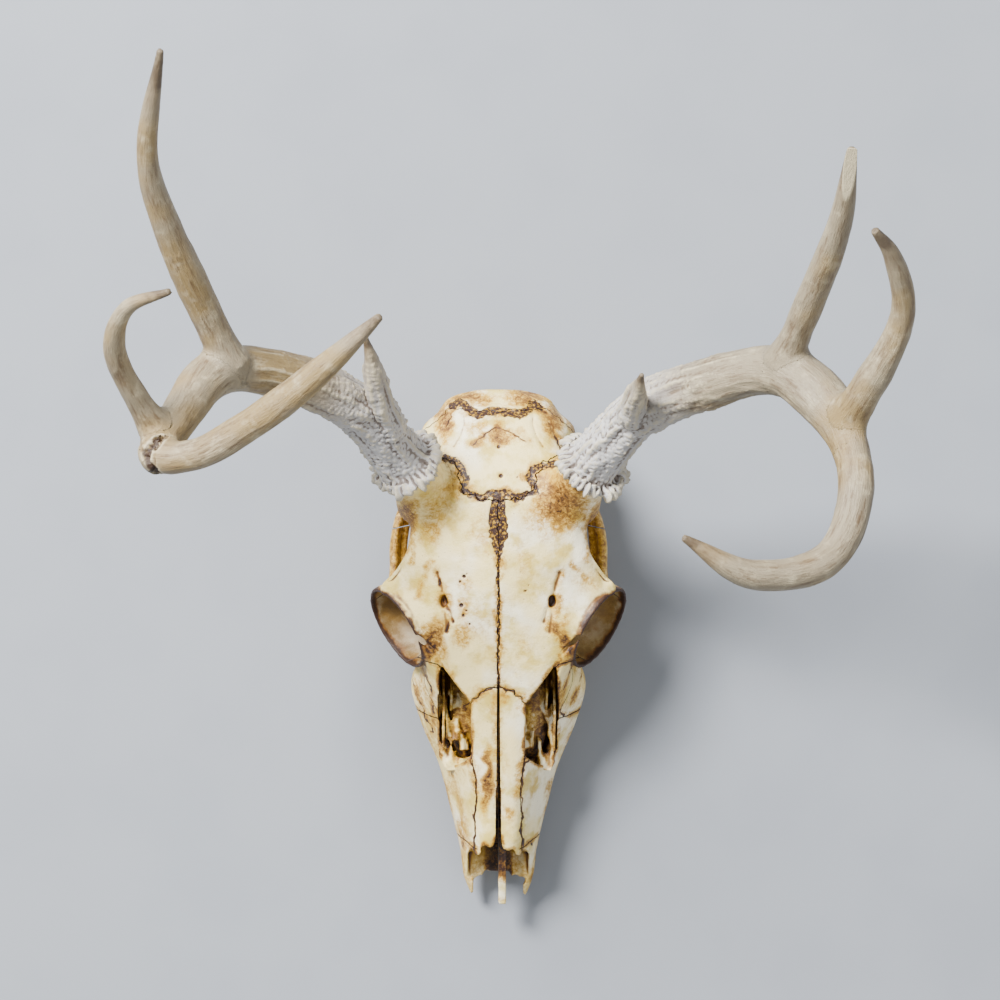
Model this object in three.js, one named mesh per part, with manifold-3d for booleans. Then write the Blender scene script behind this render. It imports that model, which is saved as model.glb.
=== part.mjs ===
// Skull of a white-tailed buck with both antlers, without its lower jaw, lying on its cheek teeth and on the
// two processes beside its condyles. Millimetres, +Z up, nose towards -Y. The animal's own left side is +X.
import * as THREE from "three";
import { mergeVertices } from "three/addons/utils/BufferGeometryUtils.js";
import Module from "manifold-3d";

const wasm = await Module();
wasm.setup();
const SIDES = { left: 1, right: -1 };

// ---------------------------------------------------------------- driving dimensions
const CUT = 0.3; // width of the cut along each suture

// Half of the head's outline, seen from the front, as five points. Each profile is [y, size] along the head.
const HEAD = {
  roofZ: [[-199, 15], [-188, 26], [-176, 45], [-150, 54], [-133, 59], [-110, 65], [-90, 71], [-70, 78],
    [-45, 87], [-20, 93], [0, 97], [15, 95], [30, 87], [43, 76], [54, 64]],
  edgeX: [[-199, 9], [-188, 10.5], [-176, 9.5], [-150, 10.5], [-133, 12.5], [-110, 16], [-90, 26], [-70, 39],
    [-52, 51], [-43, 57], [-35, 50], [-25, 43.5], [0, 39], [25, 28], [43, 23], [54, 17]],
  edgeDrop: [[-199, 0.5], [-176, 2], [-110, 3], [-80, 4], [-60, 9], [-43, 19], [-30, 11], [0, 8], [25, 7],
    [43, 5], [54, 4]],
  flankX: [[-199, 13], [-188, 16.3], [-176, 17], [-150, 20], [-133, 24], [-110, 31], [-90, 37], [-75, 34],
    [-60, 29], [-45, 27], [-25, 31], [0, 36.5], [25, 37.5], [36, 37], [43, 30], [54, 24]],
  flankZ: [[-199, 12], [-188, 19], [-176, 27], [-150, 34], [-133, 37], [-110, 43], [-90, 48], [-45, 56],
    [0, 58], [43, 52], [54, 46]],
  sillX: [[-199, 12.5], [-188, 16], [-176, 17.5], [-150, 24], [-133, 28.3], [-110, 37.3], [-90, 41],
    [-75, 34], [-62, 21], [-45, 14], [-20, 17], [0, 22], [25, 24], [43, 21], [54, 15]],
  sillZ: [[-199, 9], [-176, 12], [-150, 14], [-133, 16], [-110, 21], [-90, 27], [-70, 27], [-45, 30],
    [54, 32]],
  floorZ: [[-199, 9], [-176, 12], [-150, 14], [-110, 16], [-60, 18], [-45, 25], [0, 27], [54, 29]],
};
const WALL = 3; // thickness of the bone round the nose
const NOSE_FLOOR = 5;
const HEAD_STATIONS = [-199, -188, -176, -157, -135, -113, -100, -90, -80, -70, -60, -51, -43, -38, -33, -26,
  -14, 0, 14, 26, 36, 43, 49, 54];
const NOSE_STATIONS = [-205, -188, -176, -154, -127, -98, -76];
// The open front of the nose, under the nasals' tips, and the two notches in the floor below it.
const NOSTRIL = [
  { half: 15, back: -176, low: 18.8, high: 60 },
  { half: 5.8, back: -186.5, low: 0, high: 60 },
  { half: 12.6, back: -190, low: 0, high: 60 },
];

const ORBIT = {
  centre: [49, -62.3, 60],
  turn: 30.5, // degrees that its rim runs back and outwards
  lift: 23, // degrees that it looks up
  radius: [22.3, 20.6],
  rim: 3,
  depth: 22,
  facets: 11,
};
const POSTORBITAL = { width: 9, from: 4 }; // behind this distance past its middle a socket is only a bar
const ARCH = {
  path: [[54.5, -54, 45], [51.5, -36, 43], [51, -20, 43], [47, -5, 43], [38, 6, 44], [26, 12, 46]],
  tall: 5,
  thick: 2.5,
};
const VACUITY_Z = [33, 90]; // the opening beside each nasal, in plan, reaches down to the nose's floor
const VACUITY = [[28.3, -79], [25, -84], [13.5, -99.5], [13, -126], [20, -131], [25.5, -131.5], [28.8, -125],
  [29.5, -100]];
const CONDYLE = { centre: [13, 45, 28], radius: [9, 9, 11] };
const MAGNUM = { centre: [0, 60, 37], radius: [9.5, 34, 9] };
const CHOANAE = { centre: [0, -58, 23], radius: [8.5, 15, 6] };
const BULLA = { centre: [19, 12, 26], radius: [8, 11, 9] };
const JUGULAR = { root: [28, 33, 40], foot: [27, 38.6, -5], radius: [9, 3.4] };
const PTERYGOID = { centre: [11, -40, 27], radius: [1.6, 23, 11] };
const NUCHAL = { centre: [0, 46.5, 56], radius: [27, 8, 10] };

// Each cheek tooth, from the front: x and y of its middle, half its length, half its width, its lobes.
const TEETH = [
  [19.5, -132.5, 5, 4.6, 1], [21.3, -121.7, 5.2, 5.6, 1], [23.2, -111, 5.2, 6.6, 1],
  [25.2, -98.6, 6.8, 7.3, 2], [27, -84, 7.2, 7.6, 2], [27.6, -69, 7.2, 7.2, 2],
];
const CROWN = { height: 15, wear: 0.93 }; // a crown narrows by its wear towards the chewing face
const ALVEOLUS = {
  path: [[19.5, -141, 20], [21.3, -122, 18.5], [25.2, -98, 18.5], [27.6, -58, 20]],
  radius: [3, 8, 8.6, 9, 6],
};

// Beams and tines as smooth curves: the points that each runs through and its radius at even steps along it.
const PEDICLE = { root: [33, 2, 80], radius: [18, 13.5, 12.5] };
const BURR = { radius: 18.5, thick: 6.5, gap: 0.15 };
const ANTLERS = {
  left: {
    beam: [[42.8, 14, 103], [54, 28, 121], [66, 41, 138], [95, 53, 165], [129, 58, 195], [152, 34, 219],
      [157, 3, 240], [143, -26, 256], [109, -32, 270], [79, -16, 281]],
    beamRadius: [13.5, 11.3, 11.3, 11.2, 11.5, 12, 12.6, 9.5, 8, 7.6, 7.2, 5.6, 1.6],
    forks: [0.41, 0.6],
    tines: {
      brow: { path: [[62, 36, 133], [63, 44, 158], [65, 57, 191]], radius: [7, 5.4, 4, 1.5] },
      second: {
        path: [[126, 55, 191], [135, 79, 217], [147.6, 120, 268], [149.5, 148, 301]],
        radius: [9.5, 7.2, 6.7, 6, 4.6, 2.3],
      },
      third: {
        path: [[150, 29, 215], [160, 45, 233], [175, 80, 262], [168, 104, 287], [159, 114, 300]],
        radius: [9, 8, 6.6, 5.2, 4.6, 1.8],
      },
    },
  },
  right: {
    beam: [[-42.2, 15, 103], [-53, 28, 121], [-64, 41, 137], [-95, 56, 168], [-126, 58, 196], [-143, 35, 222],
      [-149.5, 20, 236], [-131, 20.5, 247], [-101.5, 36.7, 261], [-74, 57.5, 276], [-50, 78, 293]],
    beamRadius: [13.5, 11.5, 11, 11, 11, 11.3, 10.3, 9, 7.2, 6.8, 6.6, 5, 1.8],
    forks: [0.44, 0.6],
    tines: {
      brow: { path: [[-50, 27, 119], [-54.7, 45, 146], [-61, 75, 177]], radius: [8, 6.2, 4.6, 1.6] },
      second: {
        path: [[-117, 52, 190], [-129, 80, 209], [-144, 117, 242], [-151, 147, 271], [-141.5, 188.6, 312]],
        radius: [9, 7.6, 7.4, 6.3, 5, 3.8, 1.5],
      },
      third: {
        path: [[-146, 24, 222], [-157.7, 43, 240], [-166, 66, 264], [-158, 82, 286], [-138.5, 88, 302]],
        radius: [9, 7, 5.4, 5, 4, 3, 1.5],
      },
    },
  },
};
const FACETS = { base: 9, middle: 4, main_tip: 10, brow: 4, tine: 7, sides: 9 }; // of each length of antler
const TINE_FOOT = { at: 13, length: 22, share: 0.5 }; // a tine spreads by this share where it leaves the beam

const BONE = new THREE.MeshStandardMaterial({ color: 0xe9dfc4, roughness: 0.55, metalness: 0 });
const DARK_BONE = new THREE.MeshStandardMaterial({ color: 0xa98e66, roughness: 0.75, metalness: 0 });
const ANTLER = new THREE.MeshStandardMaterial({ color: 0xb9ab92, roughness: 0.6, metalness: 0 });

// ---------------------------------------------------------------- shapes
const point = ([x, y, z], side = 1) => new THREE.Vector3(x * side, y, z);
const curve = (path, side = 1) =>
  new THREE.CatmullRomCurve3(path.map((p) => point(p, side)), false, "centripetal");

// A smooth line through [position, value] knots.
function along(knots, at) {
  let i = 0;
  while (i < knots.length - 2 && at > knots[i + 1][0]) i += 1;
  const slope = (k) => {
    const a = knots[Math.max(k - 1, 0)];
    const b = knots[Math.min(k + 1, knots.length - 1)];
    return (b[1] - a[1]) / (b[0] - a[0]);
  };
  const [x0, y0] = knots[i];
  const [x1, y1] = knots[i + 1];
  const t = THREE.MathUtils.clamp((at - x0) / (x1 - x0), 0, 1);
  const bend = (slope(i) * (1 - t) - slope(i + 1) * t) * (x1 - x0);
  return y0 + (y1 - y0) * t * t * (3 - 2 * t) + bend * t * (1 - t);
}

const evenly = (values, t) => along(values.map((v, i) => [i / (values.length - 1), v]), t);

// A closed geometry as a manifold solid, with its faces pointing out.
function solidOf(geometry) {
  const bare = geometry.clone();
  for (const name of Object.keys(bare.attributes)) if (name !== "position") bare.deleteAttribute(name);
  const merged = mergeVertices(bare, 1e-4);
  const vertProperties = merged.attributes.position.array;
  const make = (triVerts) => new wasm.Manifold(new wasm.Mesh({ numProp: 3, vertProperties, triVerts }));
  const faces = new Uint32Array(merged.index.array);
  const made = make(faces);
  return made.volume() > 0 ? made : make(faces.reverse());
}

function meshOf(solid, name, material) {
  const { numProp, vertProperties, triVerts } = solid.getMesh();
  const geometry = new THREE.BufferGeometry();
  const vertices = new THREE.InterleavedBuffer(vertProperties, numProp);
  geometry.setAttribute("position", new THREE.InterleavedBufferAttribute(vertices, 3, 0));
  geometry.setIndex(new THREE.BufferAttribute(triVerts, 1));
  const mesh = new THREE.Mesh(geometry, material);
  mesh.name = name;
  return mesh;
}

// A drum whose wall is moved to place(share of its length, share of a turn), and whose lids follow.
function drum(sides, steps, place, middle) {
  const geometry = new THREE.CylinderGeometry(1, 1, 1, sides, steps);
  const vertices = geometry.attributes.position;
  for (let i = 0; i < vertices.count; i += 1) {
    const [x, y, z] = [vertices.getX(i), vertices.getY(i), vertices.getZ(i)];
    const t = y + 0.5;
    const turn = (Math.round((Math.atan2(x, z) / (2 * Math.PI)) * sides) + sides) % sides;
    const p = Math.hypot(x, z) > 0.5 ? place(t, turn / sides) : middle(t);
    vertices.setXYZ(i, p.x, p.y, p.z);
  }
  return solidOf(geometry);
}

// A body whose sections stand across the Y axis at some stations; outline(y) gives half a section's points,
// from its roof to its floor.
function loft(stations, sides, outline) {
  const steps = stations.length - 1;
  const yAt = (t) => stations[Math.round(t * steps)];
  const sections = new Map();
  const section = (t) => {
    if (!sections.has(t)) {
      const half = outline(yAt(t));
      const mirrored = half.slice(1, -1).reverse().map(([x, z]) => [-x, z]);
      const ring = [...half, ...mirrored].map(([x, z]) => new THREE.Vector3(x, yAt(t), z));
      sections.set(t, new THREE.CatmullRomCurve3(ring, true, "catmullrom", 0.5));
    }
    return sections.get(t);
  };
  const middle = (t) => section(t).getPoint(0).add(section(t).getPoint(0.5)).multiplyScalar(0.5);
  return drum(sides, steps, (t, turn) => section(t).getPoint(turn), middle);
}

// A tube of changing radius along a stretch of a curve; flat squeezes it sideways.
function sweep(path, radiusAt, { from = 0, to = 1, sides = 10, steps = 10, flat = 1 } = {}) {
  const { normals, binormals } = path.computeFrenetFrames(64);
  const at = (t) => THREE.MathUtils.lerp(from, to, t);
  const middle = (t) => path.getPointAt(at(t));
  const place = (t, turn) => {
    const frame = Math.round(at(t) * 64);
    const angle = turn * 2 * Math.PI;
    const r = radiusAt(at(t));
    return middle(t)
      .addScaledVector(normals[frame], Math.cos(angle) * r)
      .addScaledVector(binormals[frame], Math.sin(angle) * r * flat);
  };
  return drum(sides, steps, place, middle);
}

function ellipsoid(centre, radius, side = 1, matrix = new THREE.Matrix4(), fine = 8) {
  const geometry = new THREE.SphereGeometry(1, fine, Math.round(fine * 0.7));
  geometry.scale(...radius).applyMatrix4(matrix).translate(centre[0] * side, centre[1], centre[2]);
  return solidOf(geometry);
}

// A flat outline in plan, standing from one height to another; lean shifts it along Y as it rises from leanZ.
function prism(outline, low, high, { lean = 0, leanZ = 0 } = {}) {
  const shape = new THREE.Shape(outline.map(([x, y]) => new THREE.Vector2(x, y)));
  const geometry = new THREE.ExtrudeGeometry(shape, { depth: high - low, bevelEnabled: false });
  geometry.translate(0, 0, low - leanZ).applyMatrix4(new THREE.Matrix4().makeShear(0, 0, 0, 0, 0, lean));
  return solidOf(geometry.translate(0, 0, leanZ));
}

// A thin upright cut that follows a line in plan.
function saw(line, low, high, options = {}) {
  const width = options.width ?? CUT;
  const offset = (sign) =>
    line.map(([x, y], i) => {
      const a = line[Math.max(i - 1, 0)];
      const b = line[Math.min(i + 1, line.length - 1)];
      const length = Math.hypot(b[0] - a[0], b[1] - a[1]);
      const half = (sign * width) / 2 / length;
      return [x - (b[1] - a[1]) * half, y + (b[0] - a[0]) * half];
    });
  return prism([...offset(1), ...offset(-1).reverse()], low, high, options);
}

const mirrorLine = (line) => [...line.map(([x, y]) => [-x, y]), ...line.slice(0, -1).reverse()];
const flip = (line, side) => line.map(([x, ...rest]) => [x * side, ...rest]);
const box = (x0, x1, y0, y1, z0, z1) => prism([[x0, y0], [x1, y0], [x1, y1], [x0, y1]], z0, z1);
const union = (solids) => solids.reduce((a, b) => a.add(b));

// ---------------------------------------------------------------- the head before it is cut
function headOutline(y) {
  const roof = along(HEAD.roofZ, y);
  return [
    [0, roof],
    [along(HEAD.edgeX, y), roof - along(HEAD.edgeDrop, y)],
    [along(HEAD.flankX, y), along(HEAD.flankZ, y)],
    [along(HEAD.sillX, y), along(HEAD.sillZ, y)],
    [0, along(HEAD.floorZ, y)],
  ];
}

function noseOutline(y) {
  const [[, roof], [edgeX, edgeZ], [flankX, flankZ], [sillX], [, floor]] = headOutline(y);
  const wide = Math.min(edgeX, 24);
  return [
    [0, roof - WALL],
    [wide - WALL * 0.8, edgeZ - WALL],
    [flankX - WALL * 1.2, flankZ],
    [sillX * 0.6, floor + NOSE_FLOOR + 1],
    [0, floor + NOSE_FLOOR],
  ];
}

// The frame of an eye socket: its axes run back along its rim, up across it, and out of it.
function orbitFrame(side) {
  const turn = THREE.MathUtils.degToRad(ORBIT.turn);
  const lift = THREE.MathUtils.degToRad(ORBIT.lift);
  const back = new THREE.Vector3(Math.sin(turn) * side, Math.cos(turn), 0);
  const level = Math.cos(lift);
  const out = new THREE.Vector3(Math.cos(turn) * level * side, -Math.sin(turn) * level, Math.sin(lift));
  const up = new THREE.Vector3().crossVectors(out, back).multiplyScalar(side);
  return new THREE.Matrix4().makeBasis(back, up, out);
}

function orbitShell(side) {
  const frame = orbitFrame(side);
  const [long, tall] = ORBIT.radius;
  const out = new THREE.Vector3().setFromMatrixColumn(frame, 2);
  const rim = out.dot(point(ORBIT.centre, side)) + ORBIT.rim / 2;
  const cup = ellipsoid(ORBIT.centre, [long, tall, ORBIT.depth], side, frame, ORBIT.facets)
    .trimByPlane(out.clone().negate().toArray(), -rim);
  const bar = cup.trimByPlane(out.toArray(), rim - POSTORBITAL.width);
  return cup.trimByPlane([0, -1, 0], -ORBIT.centre[1] - POSTORBITAL.from).add(bar);
}

function orbitHollow(side) {
  const radius = [...ORBIT.radius, ORBIT.depth].map((r) => r - ORBIT.rim);
  return ellipsoid(ORBIT.centre, radius, side, orbitFrame(side), ORBIT.facets);
}

function cheekTeeth(side) {
  const crowns = TEETH.flatMap(([x, y, long, wide, lobes]) =>
    Array.from({ length: lobes }, (_, i) => {
      const geometry = new THREE.CylinderGeometry(1, CROWN.wear, CROWN.height, 6).rotateX(Math.PI / 2);
      const half = long / lobes;
      geometry.rotateZ(Math.PI / 6).scale(wide, half / Math.cos(Math.PI / 6), 1);
      return solidOf(geometry.translate(x * side, y + (2 * i + 1 - lobes) * half, CROWN.height / 2));
    }));
  const ridge = sweep(curve(ALVEOLUS.path, side), (t) => evenly(ALVEOLUS.radius, t), { sides: 8, steps: 7 });
  return union([...crowns, ridge]);
}

function skullSide(side) {
  const flat = ARCH.thick / ARCH.tall;
  const arch = sweep(curve(ARCH.path, side), () => ARCH.tall, { sides: 6, steps: 6, flat });
  const jugular = sweep(curve([JUGULAR.root, JUGULAR.foot], side), (t) => evenly(JUGULAR.radius, t),
    { sides: 6, steps: 2 });
  const beam = curve(ANTLERS[side > 0 ? "left" : "right"].beam);
  const [seat, away] = [beam.getPointAt(0), beam.getTangentAt(0)];
  const top = seat.clone().addScaledVector(away, BURR.thick);
  const stem = new THREE.CatmullRomCurve3([point(PEDICLE.root, side), seat, top]);
  const pedicle = sweep(stem, (t) => evenly(PEDICLE.radius, t), { sides: 12, steps: 3 })
    .trimByPlane(away.clone().negate().toArray(), -away.dot(seat));
  return union([
    orbitShell(side), arch, jugular.trimByPlane([0, 0, 1], 0), pedicle, cheekTeeth(side),
    ellipsoid(CONDYLE.centre, CONDYLE.radius, side), ellipsoid(BULLA.centre, BULLA.radius, side),
    ellipsoid(PTERYGOID.centre, PTERYGOID.radius, side),
  ]);
}

function wholeHead() {
  const sides = Object.values(SIDES);
  let head = loft(HEAD_STATIONS, 16, headOutline);
  head = union([head, ellipsoid(NUCHAL.centre, NUCHAL.radius), ...sides.map(skullSide)]);
  const hollows = [
    loft(NOSE_STATIONS, 12, noseOutline),
    ellipsoid(MAGNUM.centre, MAGNUM.radius),
    ellipsoid(CHOANAE.centre, CHOANAE.radius),
    ...NOSTRIL.map(({ half, back, low, high }) => box(-half, half, NOSE_STATIONS[0], back, low, high)),
    ...sides.flatMap((side) => [orbitHollow(side), prism(flip(VACUITY, side), ...VACUITY_Z)]),
  ];
  return hollows.reduce((solid, hollow) => solid.subtract(hollow), head);
}

// ---------------------------------------------------------------- sutures
// Lines in plan along which the bones part, and the levels that the upright cuts run between.
const ABOVE = 120;
const BELOW = -1;
const ROOF_CUT_Z = 50;
const CHEEK_CUT_Z = 28;
const PALATE_TOP_Z = 36;
const NASAL_FOOT_Z = 30;
const ARCH_TOP_Z = 58;
const NASOFRONTAL_FOOT_Z = 40;
const BEYOND = 80; // further out than any bone of the braincase
const CORONAL = [[75, 31], [45, 31], [31, 22], [21, 17.5], [18, 9], [15.5, 3], [9, 0.8], [0, 0]];
const LAMBDOID = [[75, 37], [40, 37], [34, 38.5], [24, 46.5], [14.5, 44], [0, 42.6]];
const LAMBDOID_LEAN = { lean: 0.3, leanZ: 75 };
const INTERFRONTAL = [[0, -91], [0, 0.1]];
const NASOFRONTAL = [[17, -102], [7, -93], [0, -90.5]];
const NASAL_EDGE = [[13.1, -124], [11.4, -140], [10.6, -180]];
const NASAL_GAP = [[-0.4, -90], [0.4, -90], [1.5, -182], [-1.5, -182]];
const PREMAXILLA_EDGE = [[10.4, -172.75], [17, -169], [32, -162]];
const PREMAXILLA_BACK = [[-11.3, -172.4], [11.3, -172.4]];
const TEMPORAL = [[42, -24], [22, -24], [12, -2], [12, 37]];
const FRONTAL_EDGE = [[24, -79.6], [31, -79], [62, -72]];
const PALATE_BACK_Y = -57;
const CHEEK_LINE = [[24, -109], [34, -107], [62, -96]];
const CHEEK_FLOOR_Y = -113;
const CHEEK_FLOOR = [[6, CHEEK_FLOOR_Y], ...CHEEK_LINE];
const CHEEK_BACK = [[24, -98], [24, PALATE_BACK_Y], [50, -33]];
const ARCH_JOIN = [[44, -14], [70, -14]];
const HALF_HEAD = 62;

function sutures() {
  const lambdoidAtRoofCut = mirrorLine(LAMBDOID).map(([x, y]) =>
    [x, y + LAMBDOID_LEAN.lean * (ROOF_CUT_Z - LAMBDOID_LEAN.leanZ)]);
  const cheekFloor = [
    [-1, CHEEK_FLOOR_Y], ...CHEEK_FLOOR, [HALF_HEAD, PALATE_BACK_Y], [-1, PALATE_BACK_Y],
  ];
  const braincaseFloor = [[-BEYOND, -BEYOND], [BEYOND, -BEYOND], ...lambdoidAtRoofCut.reverse()];
  const level = (outline, z) => prism(outline, z, z + CUT);
  const paired = (side) => [
    saw(flip(NASAL_EDGE, side), NASAL_FOOT_Z, ABOVE),
    saw(flip(PREMAXILLA_EDGE, side), BELOW, ARCH_TOP_Z),
    saw(flip(FRONTAL_EDGE, side), ROOF_CUT_Z, ABOVE),
    level(flip([...CHEEK_LINE, ...FRONTAL_EDGE.toReversed()], side), ROOF_CUT_Z),
    saw(flip(CHEEK_LINE, side), CHEEK_CUT_Z, ABOVE),
    saw(flip(CHEEK_FLOOR, side), CHEEK_CUT_Z, PALATE_TOP_Z),
    level(flip(cheekFloor, side), CHEEK_CUT_Z),
    saw(flip(CHEEK_BACK, side), CHEEK_CUT_Z, ROOF_CUT_Z + CUT),
    saw(flip(CHEEK_BACK.slice(1), side), BELOW, ROOF_CUT_Z),
    saw(flip(ARCH_JOIN, side), CHEEK_CUT_Z, ARCH_TOP_Z),
    saw(flip(TEMPORAL, side), 0, ROOF_CUT_Z + CUT),
  ];
  return union([
    saw(mirrorLine(CORONAL), ROOF_CUT_Z, ABOVE),
    saw(mirrorLine(LAMBDOID), BELOW, ABOVE, LAMBDOID_LEAN),
    level(braincaseFloor, ROOF_CUT_Z),
    saw(INTERFRONTAL, ROOF_CUT_Z, ABOVE),
    saw(mirrorLine(NASOFRONTAL), NASOFRONTAL_FOOT_Z, ABOVE),
    prism(NASAL_GAP, NASAL_FOOT_Z, ABOVE),
    saw([[0, NOSE_STATIONS[0]], [0, PALATE_BACK_Y]], BELOW, PALATE_TOP_Z),
    saw(PREMAXILLA_BACK, BELOW, PALATE_TOP_Z),
    saw([[-HALF_HEAD, PALATE_BACK_Y], [HALF_HEAD, PALATE_BACK_Y]], BELOW, CHEEK_CUT_Z + CUT),
    ...Object.values(SIDES).flatMap(paired),
  ]);
}

// A point well inside each bone, by which it is known after the cutting.
const SEEDS = {
  frontal: [25, -30, 84], nasal: [6, -140, 55], maxilla: [24, -140, 24], premaxilla: [16.5, -185, 14],
  lacrimal: [33, -88, 58], zygomatic: [38, -92, 40], temporal: [28, 10, 38],
};
const MIDDLE_SEEDS = { parietal: [0, 25, 75], occipital: [0, 50, 58], skull_base: [0, -20, 40] };

function bones() {
  const pieces = wholeHead().subtract(sutures()).decompose().filter((p) => p.volume() > 20);
  const seeded = (seed, side = 1) => {
    const probe = ellipsoid(seed, [0.5, 0.5, 0.5], side, undefined, 6);
    return pieces.find((p) => p.intersect(probe).volume() > 0);
  };
  const list = Object.entries(MIDDLE_SEEDS).map(([name, seed]) => [name, seeded(seed)]);
  for (const [side, sign] of Object.entries(SIDES)) {
    for (const [name, seed] of Object.entries(SEEDS)) list.push([`${name}_${side}`, seeded(seed, sign)]);
  }
  return list;
}

// ---------------------------------------------------------------- inside the nose
const SEPTUM = {
  thick: 3.6,
  x: 1.9,
  outline: [[-202, 18], [-202, 25], [-188, 32], [-176, 38], [-150, 46], [-110, 56], [-82, 59], [-82, 26],
    [-150, 21.5], [-186, 20]],
};
const TURBINATE = {
  path: [[13.5, -131, 38], [16.5, -112, 43], [17, -86, 47]],
  radius: [5.5, 10, 10.8, 9.5],
  flat: 0.65,
};

function septum() {
  const shape = new THREE.Shape(SEPTUM.outline.map(([y, z]) => new THREE.Vector2(y, z)));
  const geometry = new THREE.ExtrudeGeometry(shape, { depth: SEPTUM.thick, bevelEnabled: false });
  const upright = new THREE.Matrix4().makeBasis(
    new THREE.Vector3(0, 1, 0), new THREE.Vector3(0, 0, 1), new THREE.Vector3(1, 0, 0));
  return solidOf(geometry.applyMatrix4(upright).translate(SEPTUM.x - SEPTUM.thick / 2, 0, 0));
}

function turbinate(side) {
  const { path, radius, flat } = TURBINATE;
  return sweep(curve(path, side), (t) => evenly(radius, t), { sides: 8, steps: 5, flat });
}

// ---------------------------------------------------------------- antlers
function tineRadius(radius, length, t) {
  const away = t * length - TINE_FOOT.at;
  const spread = away < 0 ? 1 + away / TINE_FOOT.at : Math.max(0, 1 - away / TINE_FOOT.length) ** 2;
  const shrink = away < 0 ? 0.6 + 0.4 * spread : 1;
  return evenly(radius, t) * (shrink + TINE_FOOT.share * spread);
}

function burr(beam) {
  const { radius, thick, gap } = BURR;
  const profile = [[0, gap], [radius - 3, gap], [radius, thick / 2], [radius - 4, thick + 1], [0, thick + 1]];
  const ring = new THREE.LatheGeometry(profile.map(([r, h]) => new THREE.Vector2(r, h)), 14);
  const turn = new THREE.Quaternion().setFromUnitVectors(new THREE.Vector3(0, 1, 0), beam.getTangentAt(0));
  return solidOf(ring.applyQuaternion(turn).translate(...beam.getPointAt(0).toArray()));
}

function antler(side, { beam: points, beamRadius, forks, tines }) {
  const beam = curve(points);
  const length = beam.getLength();
  const gap = CUT / length;
  const radiusAt = (t) => evenly(beamRadius, t);
  const { sides } = FACETS;
  const stretch = (from, to, steps, extra) =>
    sweep(beam, (t) => radiusAt(t) + extra, { from, to, steps, sides });
  const start = BURR.thick / length / 2;
  const pieces = (extra) => ({
    base: union([burr(beam), stretch(start, forks[0], FACETS.base, extra)]),
    middle: stretch(forks[0] + gap, forks[1], FACETS.middle, extra),
    main_tip: stretch(forks[1] + gap, 1, FACETS.main_tip, extra),
  });
  const solids = pieces(0);
  const room = union(Object.values(pieces(CUT)));
  for (const [name, tine] of Object.entries(tines)) {
    const steps = name === "brow" ? FACETS.brow : FACETS.tine;
    const path = curve(tine.path);
    const whole = sweep(path, (t) => tineRadius(tine.radius, path.getLength(), t), { steps, sides: 8 });
    const outside = whole.subtract(room).decompose().sort((a, b) => b.volume() - a.volume());
    [solids[`${name}_tine`]] = outside;
  }
  return Object.entries(solids).map(([name, solid]) => meshOf(solid, `antler_${side}_${name}`, ANTLER));
}

// ---------------------------------------------------------------- the part
const skull = new THREE.Group();
for (const [name, solid] of bones()) skull.add(meshOf(solid, name, BONE));
skull.add(meshOf(septum(), "nasal_septum", DARK_BONE));
for (const [side, sign] of Object.entries(SIDES)) {
  skull.add(meshOf(turbinate(sign), `turbinate_${side}`, DARK_BONE));
  skull.add(...antler(side, ANTLERS[side]));
}

// The part's origin is under the middle of its box, at the level that it lies on.
const bounds = new THREE.Box3().setFromObject(skull);
const centre = bounds.getCenter(new THREE.Vector3());
skull.position.set(-centre.x, -centre.y, -bounds.min.z);
const part = new THREE.Group();
part.add(skull);

export default part;
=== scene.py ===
"""Skull of a white-tailed buck with its antlers: sculpted bone, teeth and antler over the frame's solids.

The shapes are worked out in millimetres, nose towards -Y and the animal's own left at +X, as in the part's
source, and each finished piece is put into the frame in metres.
"""
import itertools
import math
from functools import partial
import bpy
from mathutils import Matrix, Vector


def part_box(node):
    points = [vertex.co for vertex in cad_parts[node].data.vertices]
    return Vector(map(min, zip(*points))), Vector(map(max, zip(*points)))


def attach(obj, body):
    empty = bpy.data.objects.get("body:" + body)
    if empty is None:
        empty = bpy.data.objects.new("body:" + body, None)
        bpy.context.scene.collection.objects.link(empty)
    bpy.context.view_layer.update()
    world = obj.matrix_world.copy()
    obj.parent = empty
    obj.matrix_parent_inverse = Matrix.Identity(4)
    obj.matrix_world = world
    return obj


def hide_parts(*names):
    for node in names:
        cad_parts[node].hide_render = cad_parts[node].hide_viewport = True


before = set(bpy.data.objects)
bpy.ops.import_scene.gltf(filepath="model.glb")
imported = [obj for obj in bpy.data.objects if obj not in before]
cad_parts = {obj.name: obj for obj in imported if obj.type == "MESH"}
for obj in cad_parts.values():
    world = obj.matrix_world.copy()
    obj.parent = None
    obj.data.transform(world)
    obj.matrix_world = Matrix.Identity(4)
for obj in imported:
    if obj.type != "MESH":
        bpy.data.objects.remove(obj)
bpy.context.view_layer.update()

from types import SimpleNamespace

import bmesh
import bpy
import numpy as np
from mathutils import Matrix, Vector

bl_info = {
    "name": "Deer Skull",
    "version": (1, 0, 0),
    "blender": (4, 5, 0),
    "location": "3D View > Sidebar > Deer Skull",
    "description": "Sculpts and finishes the bones, teeth and antlers of a buck's skull",
    "category": "Object",
}

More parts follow.
